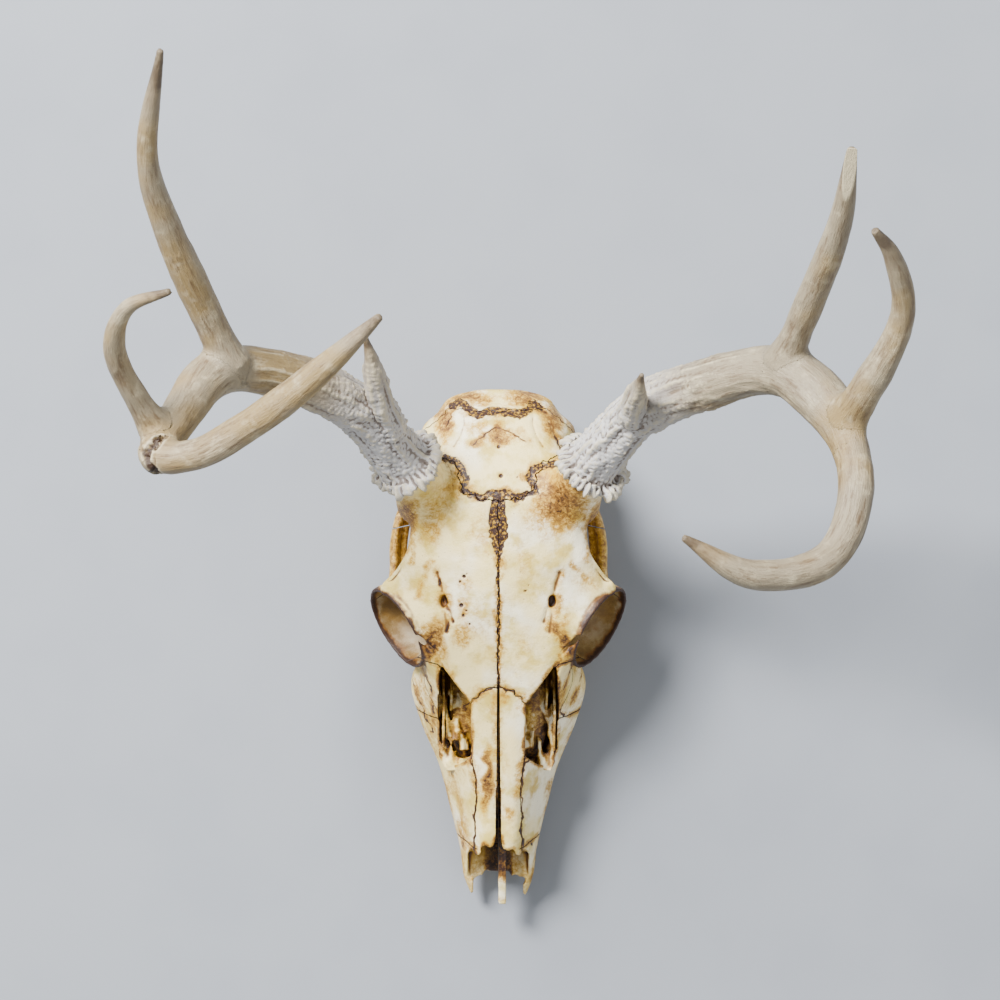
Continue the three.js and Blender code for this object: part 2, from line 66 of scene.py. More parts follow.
# ------------------------------------------------------------------ sizes of the skull, in millimetres
# Half of the head's outline, seen from the front, as five points. Each profile is [y, size] along the head.
ROOF_Z = [[-199, 15], [-188, 26], [-176, 45], [-150, 54], [-133, 59], [-110, 65], [-90, 71], [-70, 78],
          [-45, 87], [-20, 93], [0, 97], [15, 95], [30, 87], [43, 76], [54, 64]]
EDGE_X = [[-199, 9], [-188, 10.5], [-176, 9.5], [-150, 10.5], [-133, 12.5], [-110, 16], [-90, 26], [-70, 39],
          [-52, 51], [-43, 57], [-35, 50], [-25, 43.5], [0, 39], [25, 28], [43, 23], [50, 18], [54, 9]]
EDGE_DROP = [[-199, 0.5], [-176, 2], [-110, 3], [-80, 3], [-60, 6], [-43, 17], [-30, 11], [0, 8], [25, 7],
             [43, 5], [54, 4]]
FLANK_X = [[-199, 13], [-188, 16.3], [-176, 17], [-150, 20], [-133, 24], [-110, 31], [-90, 37], [-75, 34],
           [-60, 29], [-45, 27], [-25, 31], [0, 36.5], [25, 37.5], [36, 37], [43, 30], [50, 24], [54, 12]]
FLANK_Z = [[-199, 12], [-188, 19], [-176, 27], [-150, 34], [-133, 37], [-110, 43], [-90, 48], [-45, 56],
           [0, 58], [43, 52], [54, 46]]
SILL_X = [[-199, 12.5], [-188, 16], [-176, 17.5], [-150, 24], [-133, 28.3], [-110, 37.3], [-90, 41],
          [-75, 34], [-62, 21], [-45, 14], [-20, 17], [0, 22], [25, 24], [43, 21], [50, 16], [54, 8]]
SILL_Z = [[-199, 9], [-176, 12], [-150, 14], [-133, 16], [-110, 21], [-90, 27], [-70, 27], [-45, 30],
          [54, 32]]
FLOOR_Z = [[-199, 9], [-176, 12], [-150, 14], [-110, 16], [-60, 18], [-45, 25], [0, 27], [54, 29]]
HEAD_Y = (-199, 54)
NOSE_Y = (-206, -76)
WALL = 3
NOSE_FLOOR = 5
NOSTRIL_Y = -173  # in front of this the nose is open to the light
# Each cut that opens the nostrils: half its width, its back end, its foot and its top.
NOSTRIL = [(15, -176, 18.8, 60), (5.8, -186.5, 0, 60), (12.6, -190, 0, 60)]

ORBIT = {"centre": (49, -62.3, 60), "turn": 30.5, "lift": 23, "radius": (22.3, 20.6, 22), "rim": 3}
ORBIT_SLOT = ((33.6, -71.6, 77.5), (1.5, 9, 5))  # the gap between the brow and the tear bone
SLOT_TURN = 45
ORBIT_EDGE = 1.7  # thickness of the bone at the rim of an eye socket
POSTORBITAL = {"width": 9, "from": 11}
ARCH = {"path": [[54.5, -54, 45], [51.5, -36, 43], [51, -20, 43], [47, -5, 43], [38, 6, 44], [26, 12, 46]],
        "tall": 5, "flat": 0.5}
ARCH_SHELF = [[51, -54, 44], [48.5, -36, 41], [48, -20, 40.5], [44.5, -5, 41], [36, 5, 42]]
SHELF_RADIUS = 3.2
VACUITY = [[28.3, -79], [25, -84], [13.5, -99.5], [13, -126], [20, -131], [25.5, -131.5], [28.8, -125],
           [29.5, -100]]
VACUITY_LEVELS = (33, 90)
CONDYLE = ((13, 45, 28), (9, 9, 11))
MAGNUM = ((0, 60, 37), (9.5, 34, 9))
CHOANAE = ((0, -58, 23), (8.5, 15, 6))
BULLA = ((19, 12, 26), (8, 11, 9))
PTERYGOID = ((11, -40, 27), (1.6, 23, 11))
NUCHAL = ((0, 46.5, 56), (27, 8, 10))
JUGULAR = {"path": [[28, 33, 40], [27, 38.6, -5]], "radius": [9, 3.4]}

# Each cheek tooth, from the front: x and y of its middle, half its length, half its width, its lobes.
TEETH = [(19.5, -132.5, 5, 4.6, 1), (21.3, -121.7, 5.2, 5.6, 1), (23.2, -111, 5.2, 6.6, 1),
         (25.2, -98.6, 6.8, 7.3, 2), (27, -84, 7.2, 7.6, 2), (27.6, -69, 7.2, 7.2, 2)]
CROWN_HEIGHT = 15
ALVEOLUS = {"path": [[19.5, -141, 20], [21.3, -122, 18.5], [25.2, -98, 18.5], [27.6, -58, 20]],
            "radius": [3, 8, 8.6, 9, 6]}

PEDICLE = {"root": [33, 2, 80], "radius": [18, 13.5, 12.5]}
BURR = {"radius": 18.5, "thick": 6.5}
TINE_FOOT = {"at": 13, "length": 22, "share": 0.22}
ANTLERS = {
    "left": {
        "beam": [[42.8, 14, 103], [54, 28, 121], [66, 41, 138], [95, 53, 165], [129, 58, 195], [152, 34, 219],
                 [157, 3, 240], [143, -26, 256], [109, -32, 270], [79, -16, 281]],
        "radius": [13.5, 11.3, 11.3, 11.2, 11.5, 12, 12.6, 9.5, 8, 7.6, 7.2, 5.6, 1.6],
        "forks": (0.41, 0.6),
        "warm": -0.04,  # how much more tan than grey
        "tines": {
            "brow": ([[62, 36, 133], [63, 44, 158], [65, 57, 191]], [7, 5.4, 4, 1.5]),
            "second": ([[126, 55, 191], [135, 79, 217], [147.6, 120, 268], [149.5, 148, 301]],
                       [9.5, 7.2, 6.7, 6, 4.6, 2.3]),
            "third": ([[150, 29, 215], [160, 45, 233], [175, 80, 262], [168, 104, 287], [159, 114, 300]],
                      [9, 8, 6.6, 5.2, 4.6, 1.8]),
        },
    },
    "right": {
        "beam": [[-42.2, 15, 103], [-53, 28, 121], [-64, 41, 137], [-95, 56, 168], [-126, 58, 196],
                 [-143, 35, 222], [-149.5, 20, 236], [-131, 20.5, 247], [-101.5, 36.7, 261], [-74, 57.5, 276],
                 [-50, 78, 293]],
        "radius": [13.5, 11.5, 11, 11, 11, 11.3, 10.3, 9, 7.2, 6.8, 6.6, 5, 1.8],
        "forks": (0.44, 0.6),
        "warm": 0.04,
        "tines": {
            "brow": ([[-50, 27, 119], [-54.7, 45, 146], [-61, 75, 177]], [8, 6.2, 4.6, 1.6]),
            "second": ([[-117, 52, 190], [-129, 80, 209], [-144, 117, 242], [-151, 147, 271],
                        [-141.5, 188.6, 312]], [9, 7.6, 7.4, 6.3, 5, 3.8, 1.5]),
            "third": ([[-146, 24, 222], [-157.7, 43, 240], [-166, 66, 264], [-158, 82, 286],
                       [-138.5, 88, 302]], [9, 7, 5.4, 5, 4, 3, 1.5]),
        },
    },
}
SIDES = {"left": 1, "right": -1}

# Lines in plan along which the bones part, and the levels that the upright cuts run between.
ABOVE, BELOW = 120, -1
ROOF_CUT_Z, CHEEK_CUT_Z, PALATE_TOP_Z, NASAL_FOOT_Z, ARCH_TOP_Z = 50, 28, 36, 30, 58
CORONAL = [[75, 31], [45, 31], [31, 22], [21, 17.5], [18, 9], [15.5, 3], [9, 0.8], [0, 0]]
LAMBDOID = [[75, 37], [40, 37], [34, 38.5], [24, 46.5], [14.5, 44], [0, 42.6]]
LAMBDOID_LEAN = (0.3, 75)  # the cut shifts back by this share as it rises from this level
NASOFRONTAL = [[17, -102], [7, -93], [0, -90.5]]
NASAL_EDGE = [[13.3, -124], [12.4, -131], [11.2, -138], [10.9, -146], [11.5, -155], [11.7, -180]]
NASAL_GAP = [[-0.4, -90], [0.4, -90], [1.5, -182], [-1.5, -182]]
PREMAXILLA_EDGE = [[10.4, -172.75], [17, -169], [32, -162]]
PREMAXILLA_BACK = [[-11.3, -172.4], [11.3, -172.4]]
TEMPORAL = [[42, -24], [22, -24], [12, -2], [12, 37]]
FRONTAL_EDGE = [[26.5, -83], [29.5, -80], [66, -71]]
PALATE_BACK_Y = -57
CHEEK_LINE = [[24, -109], [34, -107], [66, -94.4]]
CHEEK_FLOOR = [[6, -113], *CHEEK_LINE]
CHEEK_BACK = [[24, -98], [24, PALATE_BACK_Y], [50, -33]]
ARCH_JOIN = [[42, -12], [56, -15], [70, -16]]
HALF_HEAD = 66
CUT = 0.3

# The nasals' torn tips, as what is missing between their prongs, and bites out of the thin bone below them.
NASAL_TIPS = [[-15, -190], [-15, -175.2], [-12.6, -172.5], [-11.6, -177.8], [-10.2, -178.2], [-8.8, -175],
              [-8.4, -171.4], [-6.2, -170.2], [-4.8, -171.8], [-2.4, -171], [-1.2, -166], [1.2, -166],
              [2.2, -171.8], [5, -173.4], [7.2, -172], [8.4, -174.2], [9.6, -179.6], [10.8, -178.2],
              [11.6, -173], [15, -175.2], [15, -190]]
TIPS_LEVELS = (24, 60)
TIP_BITES = [((-9, -192.2, 15), (3.4, 3.6, 9)), ((-6, -188.5, 15), (1.8, 2.6, 9)),
             ((8.6, -192.4, 15), (3, 4.4, 9)), ((12.4, -191, 15), (1.4, 2, 9)),
             ((-12.4, -200.5, 12), (2, 2.6, 9)), ((13, -201, 12), (2.2, 2, 9)),
             ((15.6, -199.5, 12), (1.2, 1.6, 9)), ((-16, -197.5, 12), (1.4, 2.4, 9))]

# The plate in the middle of the nose: its two faces, and its outline as y and z.
SEPTUM = {"x": (0.1, 3.7), "outline": [[-202, 18], [-202, 25], [-188, 32], [-176, 38], [-150, 46],
                                       [-110, 56], [-82, 59], [-82, 26], [-150, 21.5], [-186, 20]],
          "grain": 0.6}
TURBINATE = {"path": [[13.5, -131, 38], [16.5, -112, 43], [17, -86, 47]], "radius": [5.5, 10, 10.8, 9.5],
             "flat": 0.65}

GRAIN = 0.68  # spacing of the sculpted skin's points
SHEET_GRAIN = 0.45  # the same on the thin sheets inside the nose
TOOTH_GRAIN = 0.36
HOLE_GRAIN = 0.4  # the same on what cuts the holes through the sheets
SHEET_LEVELS = (45, 47)  # lower and upper face of a sheet before it is folded
HEAD_SIDES, ROOM_SIDES = 160, 96  # corners round the head's outer shape, and round the room in its nose
SKIN_STEP = 1.0  # spacing of the rings that a shape is first laid out with
TOOTH_STEP = 0.6  # spacing of the points along a toothed suture
FINE_STEPS = 400  # steps that a smooth line is read at
ROOF_LEVELS = (56, 62)  # heights between which a flank turns into the roof

septum_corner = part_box("nasal_septum")[0]
TO_FRAME = Matrix.Translation(septum_corner) @ Matrix.Scale(0.001, 4) @ Matrix.Translation(
    -Vector((SEPTUM["x"][0], SEPTUM["outline"][0][0], SEPTUM["outline"][0][1])))


# ------------------------------------------------------------------ lines and noise
def along(knots, at):
    """The smooth line through [place, value] knots, read at many places."""
    place, value = np.array(knots, float).T
    last = len(place) - 1
    after = np.minimum(np.arange(last + 1) + 1, last)
    before = np.maximum(np.arange(last + 1) - 1, 0)
    slope = (value[after] - value[before]) / (place[after] - place[before])
    at = np.asarray(at, float)
    i = np.clip(np.searchsorted(place, at) - 1, 0, last - 1)
    step = place[i + 1] - place[i]
    t = np.clip((at - place[i]) / step, 0, 1)
    bend = (slope[i] * (1 - t) - slope[i + 1] * t) * step
    return value[i] + (value[i + 1] - value[i]) * t * t * (3 - 2 * t) + bend * t * (1 - t)


def evenly(values, t):
    """The smooth line through values at even steps, read at shares of its length."""
    return along([[i / (len(values) - 1), value] for i, value in enumerate(values)], t)


def ramp(low, high, value):
    """0 below low, 1 above high, smooth between; low may be the larger."""
    t = np.clip((value - low) / (high - low), 0, 1)
    return t * t * (3 - 2 * t)


def scatter(cell, seed):
    """A steady number from 0 to 1 for each whole-numbered cell."""
    cell = cell.astype(np.int64)
    mixed = cell[:, 0] * 73856093 ^ cell[:, 1] * 19349663 ^ cell[:, 2] * 83492791 ^ seed * 15485863
    mixed = (mixed ^ (mixed >> 13)) * 1274126177 & 0xFFFFFFFF
    mixed = (mixed ^ (mixed >> 16)) * 2246822519 & 0xFFFFFFFF
    return (mixed ^ (mixed >> 15) & 0xFFFFFFFF) / 0xFFFFFFFF


def noise(spots, size, seed):
    """Smooth lumps from -1 to 1, each about size across."""
    scaled = spots / size
    cell = np.floor(scaled)
    part = scaled - cell
    part = part * part * (3 - 2 * part)
    total = np.zeros(len(spots))
    for corner in itertools.product((0, 1), repeat=3):
        weight = np.prod(np.where(corner, part, 1 - part), axis=1)
        total += weight * scatter(cell + corner, seed)
    return 2 * total - 1


def layered(spots, size, seed):
    """Lumps with finer lumps and still finer ones on them, from about -1 to 1."""
    return sum(noise(spots, size / 2**i, seed + i) / 2**i for i in range(3)) / 1.75


def beads(spots, size, seed):
    """Round beads about size apart: 1 at the middle of each and 0 between them."""
    scaled = spots / size
    cell = np.floor(scaled)
    nearest = np.full(len(spots), 9.0)
    for corner in itertools.product((-1, 0, 1), repeat=3):
        home = cell + corner
        middle = home + 0.15 + 0.7 * np.stack([scatter(home, seed + axis) for axis in range(3)], axis=1)
        nearest = np.minimum(nearest, ((scaled - middle) ** 2).sum(axis=1))
    return np.clip(1 - np.sqrt(nearest) * 1.5, 0, 1)


def run(points, steps):
    """Even steps along a smooth line through points: places, ways ahead, aside and up, and its length."""
    knots = np.array(points, float)
    knots = np.vstack([2 * knots[0] - knots[1], knots, 2 * knots[-1] - knots[-2]])
    gap = np.linalg.norm(np.diff(knots, axis=0), axis=1) ** 0.5
    t = np.linspace(0, 1, 60, endpoint=False)[:, None]
    fine = []
    for i in range(1, len(knots) - 2):
        before, here, there, after = knots[i - 1:i + 3]
        a, b, c = gap[i - 1:i + 2]
        leave = ((here - before) / a - (there - before) / (a + b) + (there - here) / b) * b
        arrive = ((there - here) / b - (after - here) / (b + c) + (after - there) / c) * b
        fine.append(here + leave * t + (3 * (there - here) - 2 * leave - arrive) * t**2
                    + (2 * (here - there) + leave + arrive) * t**3)
    fine = np.vstack([*fine, knots[-2]])
    walked = np.concatenate([[0], np.cumsum(np.linalg.norm(np.diff(fine, axis=0), axis=1))])
    even = np.linspace(0, walked[-1], steps + 1)
    places = np.stack([np.interp(even, walked, fine[:, axis]) for axis in range(3)], axis=1)
    ahead = np.gradient(places, axis=0)
    ahead /= np.linalg.norm(ahead, axis=1)[:, None]
    first = np.eye(3)[np.argmin(np.abs(ahead[0]))]
    side = np.cross(ahead[0], np.cross(ahead[0], first))
    sides = []
    for direction in ahead:
        side = side - direction * (side @ direction)
        side = side / np.linalg.norm(side)
        sides.append(side)
    sides = np.array(sides)
    up = np.cross(ahead, sides)
    return {"places": places, "ahead": ahead, "side": sides, "up": up, "length": walked[-1]}


def read(values, t):
    """A run's rows at shares of its length."""
    at = np.clip(t, 0, 1) * (len(values) - 1)
    low = np.minimum(at.astype(int), len(values) - 2)
    part = (at - low)[:, None]
    return values[low] * (1 - part) + values[low + 1] * part


# ------------------------------------------------------------------ closed shapes
def skin(sides, steps, place):
    """A grid rolled up to place(turn, t), welded along its seam and closed at both ends."""
    made = bmesh.new()
    bmesh.ops.create_grid(made, x_segments=sides, y_segments=steps, size=1)
    flat = np.array([vertex.co[:2] for vertex in made.verts]) / 2 + 0.5
    for vertex, spot in zip(made.verts, place(flat[:, 0], flat[:, 1])):
        vertex.co = spot
    bmesh.ops.remove_doubles(made, verts=made.verts, dist=1e-3)
    bmesh.ops.holes_fill(made, edges=[edge for edge in made.edges if edge.is_boundary])
    return closed(made)


def as_mesh(made, name="shape"):
    """The bmesh as a mesh; the bmesh itself is freed."""
    mesh = bpy.data.meshes.new(name)
    made.to_mesh(mesh)
    made.free()
    return mesh


def closed(made):
    """The bmesh as a mesh, with its faces pointing out."""
    bmesh.ops.recalc_face_normals(made, faces=made.faces)
    if made.calc_volume(signed=True) < 0:
        bmesh.ops.reverse_faces(made, faces=made.faces)
    return as_mesh(made)


def tube(points, radius, sides=48, flat=1.0, start=0.0):
    """A tube along a smooth line; radius gives its size at a share of the length, flat squeezes it."""
    line = run(points, FINE_STEPS)
    steps = max(int(line["length"] * (1 - start) / SKIN_STEP), 2)

    def place(turn, t):
        t = start + (1 - start) * t
        size = radius(t)[:, None]
        angle = (turn * 2 * math.pi)[:, None]
        return (read(line["places"], t) + read(line["side"], t) * np.cos(angle) * size
                + read(line["up"], t) * np.sin(angle) * size * flat)

    return skin(sides, steps, place)


def egg(centre, radius, side=1, turn=Matrix.Identity(4)):
    """An ellipsoid, turned about its middle."""
    made = bmesh.new()
    where = Matrix.Translation(on_side(centre, side)) @ turn @ Matrix.Diagonal((*radius, 1))
    bmesh.ops.create_icosphere(made, subdivisions=5, radius=1, matrix=where)
    return closed(made)


def prism(outline, low, high, lean=(0, 0)):
    """A flat outline in plan, standing from one height to another; lean shifts it along Y as it rises."""
    made = bmesh.new()
    made.faces.new([made.verts.new((x, y, low)) for x, y in outline])
    risen = bmesh.ops.extrude_face_region(made, geom=made.faces[:])["geom"]
    top = [item for item in risen if isinstance(item, bmesh.types.BMVert)]
    bmesh.ops.translate(made, verts=top, vec=(0, 0, high - low))
    for vertex in made.verts:
        vertex.co.y += lean[0] * (vertex.co.z - lean[1])
    return closed(made)


def on_side(spot, side):
    """A spot of the animal's left side, or its mirror image on the right."""
    return [spot[0] * side, *spot[1:]]


def flip(line, side):
    """A line of the left side, or its mirror image on the right."""
    return [on_side(spot, side) for spot in line]


def both_sides(lines):
    """Each line twice: on the left, and mirrored on the right."""
    return [flip(line, side) for line in lines for side in SIDES.values()]


def mirrored(line):
    """A line that runs up to the middle of the head, carried on to the other side."""
    return [[-x, y] for x, y in line] + line[-2::-1]


def toothed(line, depth, seed):
    """A line in plan with the fine interlocking teeth of a suture."""
    line = np.array(line, float)
    walked = np.concatenate([[0], np.cumsum(np.linalg.norm(np.diff(line, axis=0), axis=1))])
    even = np.linspace(0, walked[-1], int(walked[-1] / TOOTH_STEP) + 1)
    places = np.stack([np.interp(even, walked, line[:, axis]) for axis in range(2)], axis=1)
    ahead = np.gradient(places, axis=0)
    ahead /= np.linalg.norm(ahead, axis=1)[:, None]
    spots = np.stack([even, even * 0, even * 0], axis=1)
    sway = (noise(spots, 2.2, seed) + 0.6 * noise(spots, 1.1, seed + 5)) * depth
    sway *= np.minimum(np.minimum(even, even[-1] - even) / 2, 1)
    return (places + np.stack([-ahead[:, 1], ahead[:, 0]], axis=1) * sway[:, None]).tolist()


def saw(line, low, high, lean=(0, 0)):
    """A thin upright cut that follows a line in plan."""
    line = np.array(line, float)
    ahead = np.gradient(line, axis=0)
    ahead /= np.linalg.norm(ahead, axis=1)[:, None]
    aside = np.stack([-ahead[:, 1], ahead[:, 0]], axis=1) * CUT / 2
    return prism(np.vstack([line + aside, (line - aside)[::-1]]).tolist(), low, high, lean)


def level(outline, z):
    """A thin level cut with this outline."""
    return prism(outline, z, z + CUT)


def brick(half, y0, y1, z0, z1):
    """A block across the middle of the head."""
    return prism([[-half, y0], [half, y0], [half, y1], [-half, y1]], z0, z1)


# ------------------------------------------------------------------ joining, cutting and smoothing
def as_object(mesh, name="work"):
    made = bpy.data.objects.new(name, mesh)
    bpy.context.scene.collection.objects.link(made)
    return made


def with_modifier(mesh, kind, **settings):
    """The mesh that a modifier makes of this one."""
    worker = as_object(mesh)
    modifier = worker.modifiers.new("work", kind)
    for name, value in settings.items():
        setattr(modifier, name, value)
    made = bpy.data.meshes.new_from_object(worker.evaluated_get(bpy.context.evaluated_depsgraph_get()))
    bpy.data.objects.remove(worker)
    bpy.data.meshes.remove(mesh)
    return made


def boolean(mesh, other, operation):
    """The first mesh with the other joined to it or cut from it; both are used up."""
    tool = as_object(other, "tool")
    made = with_modifier(mesh, "BOOLEAN", object=tool, operation=operation, solver="MANIFOLD")
    bpy.data.objects.remove(tool)
    bpy.data.meshes.remove(other)
    return made


def heap(meshes):
    """Several meshes as one, still overlapping."""
    made = bmesh.new()
    for mesh in meshes:
        made.from_mesh(mesh)
        bpy.data.meshes.remove(mesh)
    return as_mesh(made, "heap")


def cast(mesh, grain):
    """One even skin round everything that the mesh holds."""
    return with_modifier(mesh, "REMESH", mode="VOXEL", voxel_size=grain, use_smooth_shade=True)


def places_of(mesh):
    """The places of the mesh's points, a row each."""
    flat = np.empty(len(mesh.vertices) * 3, np.float32)
    mesh.vertices.foreach_get("co", flat)
    return flat.reshape(-1, 3).astype(float)


def put_places(mesh, places):
    mesh.vertices.foreach_set("co", places.astype(np.float32).ravel())
    mesh.update()


def outward(mesh):
    """The way out of the surface at each of the mesh's points."""
    flat = np.empty(len(mesh.vertices) * 3, np.float32)
    mesh.vertex_normals.foreach_get("vector", flat)
    return flat.reshape(-1, 3).astype(float)


def links_of(mesh):
    """The two points of each of the mesh's edges."""
    flat = np.empty(len(mesh.edges) * 2, np.int32)
    mesh.edges.foreach_get("vertices", flat)
    return flat.reshape(-1, 2)


def eased(values, links, rounds, share=0.5):
    """Values at the points of a mesh, each drawn towards the mean of its neighbours' some times."""
    count = np.maximum(np.bincount(links.ravel(), minlength=len(values)), 1)[:, None]
    values = values.reshape(len(values), -1)
    for _ in range(rounds):
        total = np.stack([np.bincount(links[:, 0], column[links[:, 1]], len(values))
                          + np.bincount(links[:, 1], column[links[:, 0]], len(values))
                          for column in values.T], axis=1)
        values = values + (total / count - values) * share
    return values


def smoothed(mesh, rounds):
    """Rounds the mesh's edges off, and swells it back by as much, so that it doesn't shrink."""
    links = links_of(mesh)
    places = places_of(mesh)
    for _ in range(rounds):
        places = eased(places, links, 1)
        places = eased(places, links, 1, -0.52)
    put_places(mesh, places)


def roughened(mesh, depth, size, seed):
    """Raises and lowers the surface in layered lumps of some size."""
    places = places_of(mesh)
    put_places(mesh, places + outward(mesh) * (depth * layered(places, size, seed))[:, None])


def hollows(mesh, rounds):
    """How far each point lies below its surroundings, in millimetres; less than 0 where it stands proud."""
    links = links_of(mesh)
    places = places_of(mesh)
    return ((eased(places, links, rounds) - places) * outward(mesh)).sum(axis=1)


def remember(mesh, name, values):
    """Keeps a number, or a row of three, at each point of the mesh, for its material."""
    kind, field = ("FLOAT_VECTOR", "vector") if values.ndim == 2 else ("FLOAT", "value")
    kept = mesh.attributes.get(name) or mesh.attributes.new(name, kind, "POINT")
    kept.data.foreach_set(field, values.astype(np.float32).ravel())


def apart(mesh):
    """The loose pieces of a mesh, as meshes."""
    worker = as_object(mesh, "loose")
    bpy.ops.object.select_all(action="DESELECT")
    worker.select_set(True)
    bpy.context.view_layer.objects.active = worker
    bpy.ops.object.mode_set(mode="EDIT")
    bpy.ops.mesh.separate(type="LOOSE")
    bpy.ops.object.mode_set(mode="OBJECT")
    pieces = []
    for item in list(bpy.context.selected_objects):
        pieces.append(item.data)
        bpy.data.objects.remove(item)
    return pieces


def finished(mesh, name, material, nodes=()):
    """The mesh as a piece of the skull, in the frame's own place, that stands for some of its nodes."""
    mesh.transform(TO_FRAME)
    mesh.update()
    mesh.name = name
    mesh.materials.clear()
    mesh.materials.append(material)
    mesh.polygons.foreach_set("use_smooth", [True] * len(mesh.polygons))
    mesh.polygons.foreach_set("material_index", [0] * len(mesh.polygons))
    piece = as_object(mesh, name)
    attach(piece, "root")
    if nodes:
        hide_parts(*nodes)
    return piece


# ------------------------------------------------------------------ the head before it is cut
def section(points, turn):
    """A closed smooth section: points are its corners in order, each an array over the places asked for."""
    count = len(points)
    at = turn * count
    cell = np.minimum(at.astype(int), count - 1)
    t = at - cell
    rows = np.stack(points)
    pick = [rows[(cell + k) % count, np.arange(len(turn))] for k in (-1, 0, 1, 2)]
    leave, arrive = (pick[2] - pick[0]) / 2, (pick[3] - pick[1]) / 2
    return (pick[1] + leave * t + (3 * (pick[2] - pick[1]) - 2 * leave - arrive) * t**2
            + (2 * (pick[1] - pick[2]) + leave + arrive) * t**3)


def head_outline(y):
    """Half a section of the head, from its roof to its floor."""
    roof = along(ROOF_Z, y)
    return [(0 * y, roof), (along(EDGE_X, y), roof - along(EDGE_DROP, y)),
            (along(FLANK_X, y), along(FLANK_Z, y)), (along(SILL_X, y), along(SILL_Z, y)),
            (0 * y, along(FLOOR_Z, y))]


def nose_outline(y):
    """Half a section of the room inside the nose."""
    (_, roof), (edge_x, edge_z), (flank_x, flank_z), (sill_x, _), (_, floor) = head_outline(y)
    return [(0 * y, roof - WALL), (np.minimum(edge_x, 24) - WALL * 0.8, edge_z - WALL),
            (flank_x - WALL * 1.2, flank_z), (sill_x * 0.6, floor + NOSE_FLOOR + 1),
            (0 * y, floor + NOSE_FLOOR)]


def hull(outline, ends, sides):
    """A body along Y whose halves follow an outline."""
    def place(turn, t):
        y = ends[0] + (ends[1] - ends[0]) * t
        half = outline(y)
        ring = half + [(-x, z) for x, z in half[-2:0:-1]]
        x, z = (section([point[axis] for point in ring], turn) for axis in (0, 1))
        return np.stack([x, y, z], axis=1)

    return skin(sides, int((ends[1] - ends[0]) / SKIN_STEP), place)


def orbit_frame(side):
    """The axes of an eye socket: back along its rim, up across it, and out of it."""
    turn, lift = math.radians(ORBIT["turn"]), math.radians(ORBIT["lift"])
    back = Vector((math.sin(turn) * side, math.cos(turn), 0))
    out = Vector((math.cos(turn) * math.cos(lift) * side, -math.sin(turn) * math.cos(lift), math.sin(lift)))
    up = out.cross(back) * side
    return Matrix((back, up, out)).transposed().to_4x4()


def orbit_shell(side):
    """The ring of bone round an eye: a whole cup in front, and only a bar behind."""
    axes = orbit_frame(side)
    out = axes.to_3x3().col[2]
    centre = Vector(on_side(ORBIT["centre"], side))
    made = bmesh.new()
    where = Matrix.Translation(centre) @ axes @ Matrix.Diagonal((*ORBIT["radius"], 1))
    bmesh.ops.create_icosphere(made, subdivisions=5, radius=1, matrix=where)
    rim = centre + out * ORBIT["rim"] / 2
    slice_off(made, rim, out)
    bar = made.copy()
    slice_off(bar, rim - out * POSTORBITAL["width"], -out)
    slice_off(made, Vector((0, centre.y + POSTORBITAL["from"], 0)), Vector((0, 1, 0)))
    return [closed(made), closed(bar)]


def slice_off(made, at, away):
    """Cuts off what lies beyond a plane, and closes the cut."""
    geom = made.verts[:] + made.edges[:] + made.faces[:]
    bmesh.ops.bisect_plane(made, geom=geom, plane_co=at, plane_no=away, clear_outer=True)
    bmesh.ops.holes_fill(made, edges=[edge for edge in made.edges if edge.is_boundary])


def pedicle(side, beam):
    """The stump of bone that carries an antler, cut square at the burr."""
    seat = run(beam, FINE_STEPS)
    top = seat["places"][0] + seat["ahead"][0] * BURR["thick"]
    stem = tube([on_side(PEDICLE["root"], side), seat["places"][0], top],
                partial(evenly, PEDICLE["radius"]))
    made = bmesh.new()
    made.from_mesh(stem)
    slice_off(made, Vector(seat["places"][0]), Vector(seat["ahead"][0]))
    return closed(made)


def head_side(side, beam):
    """What one side of the head adds to its main body."""
    return [
        *orbit_shell(side),
        tube(flip(ARCH["path"], side), lambda t: 0 * t + ARCH["tall"], flat=ARCH["flat"]),
        tube(flip(ARCH_SHELF, side), lambda t: 0 * t + SHELF_RADIUS),
        tube(flip(JUGULAR["path"], side), partial(evenly, JUGULAR["radius"])),
        tube(flip(ALVEOLUS["path"], side), partial(evenly, ALVEOLUS["radius"])),
        pedicle(side, beam),
        egg(*CONDYLE, side), egg(*BULLA, side), egg(*PTERYGOID, side),
    ]


def head_cast(grain):
    """The whole head as one skin, hollowed but not yet parted."""
    solids = [hull(head_outline, HEAD_Y, HEAD_SIDES), egg(*NUCHAL)]
    hollow = [hull(nose_outline, NOSE_Y, ROOM_SIDES), egg(*MAGNUM), egg(*CHOANAE)]
    hollow += [brick(half, NOSE_Y[0], back, low, high) for half, back, low, high in NOSTRIL]
    hollow.append(prism(NASAL_TIPS, *TIPS_LEVELS))
    hollow += [egg(*bite) for bite in TIP_BITES]
    for name, side in SIDES.items():
        solids += head_side(side, ANTLERS[name]["beam"])
        socket = [r - ORBIT_EDGE for r in ORBIT["radius"]]
        slot_turn = Matrix.Rotation(math.radians(-SLOT_TURN * side), 4, "Z")
        hollow += [egg(ORBIT["centre"], socket, side, orbit_frame(side)),
                   egg(*ORBIT_SLOT, side, slot_turn),
                   prism(flip(VACUITY, side), *VACUITY_LEVELS)]
    whole = cast(heap(solids), grain)
    room = cast(heap(hollow), grain)
    floor = prism([[-200, -300], [200, -300], [200, 300], [-200, 300]], -50, 0)
    whole = boolean(whole, room, "DIFFERENCE")
    whole = boolean(whole, floor, "DIFFERENCE")
    return cast(whole, grain)


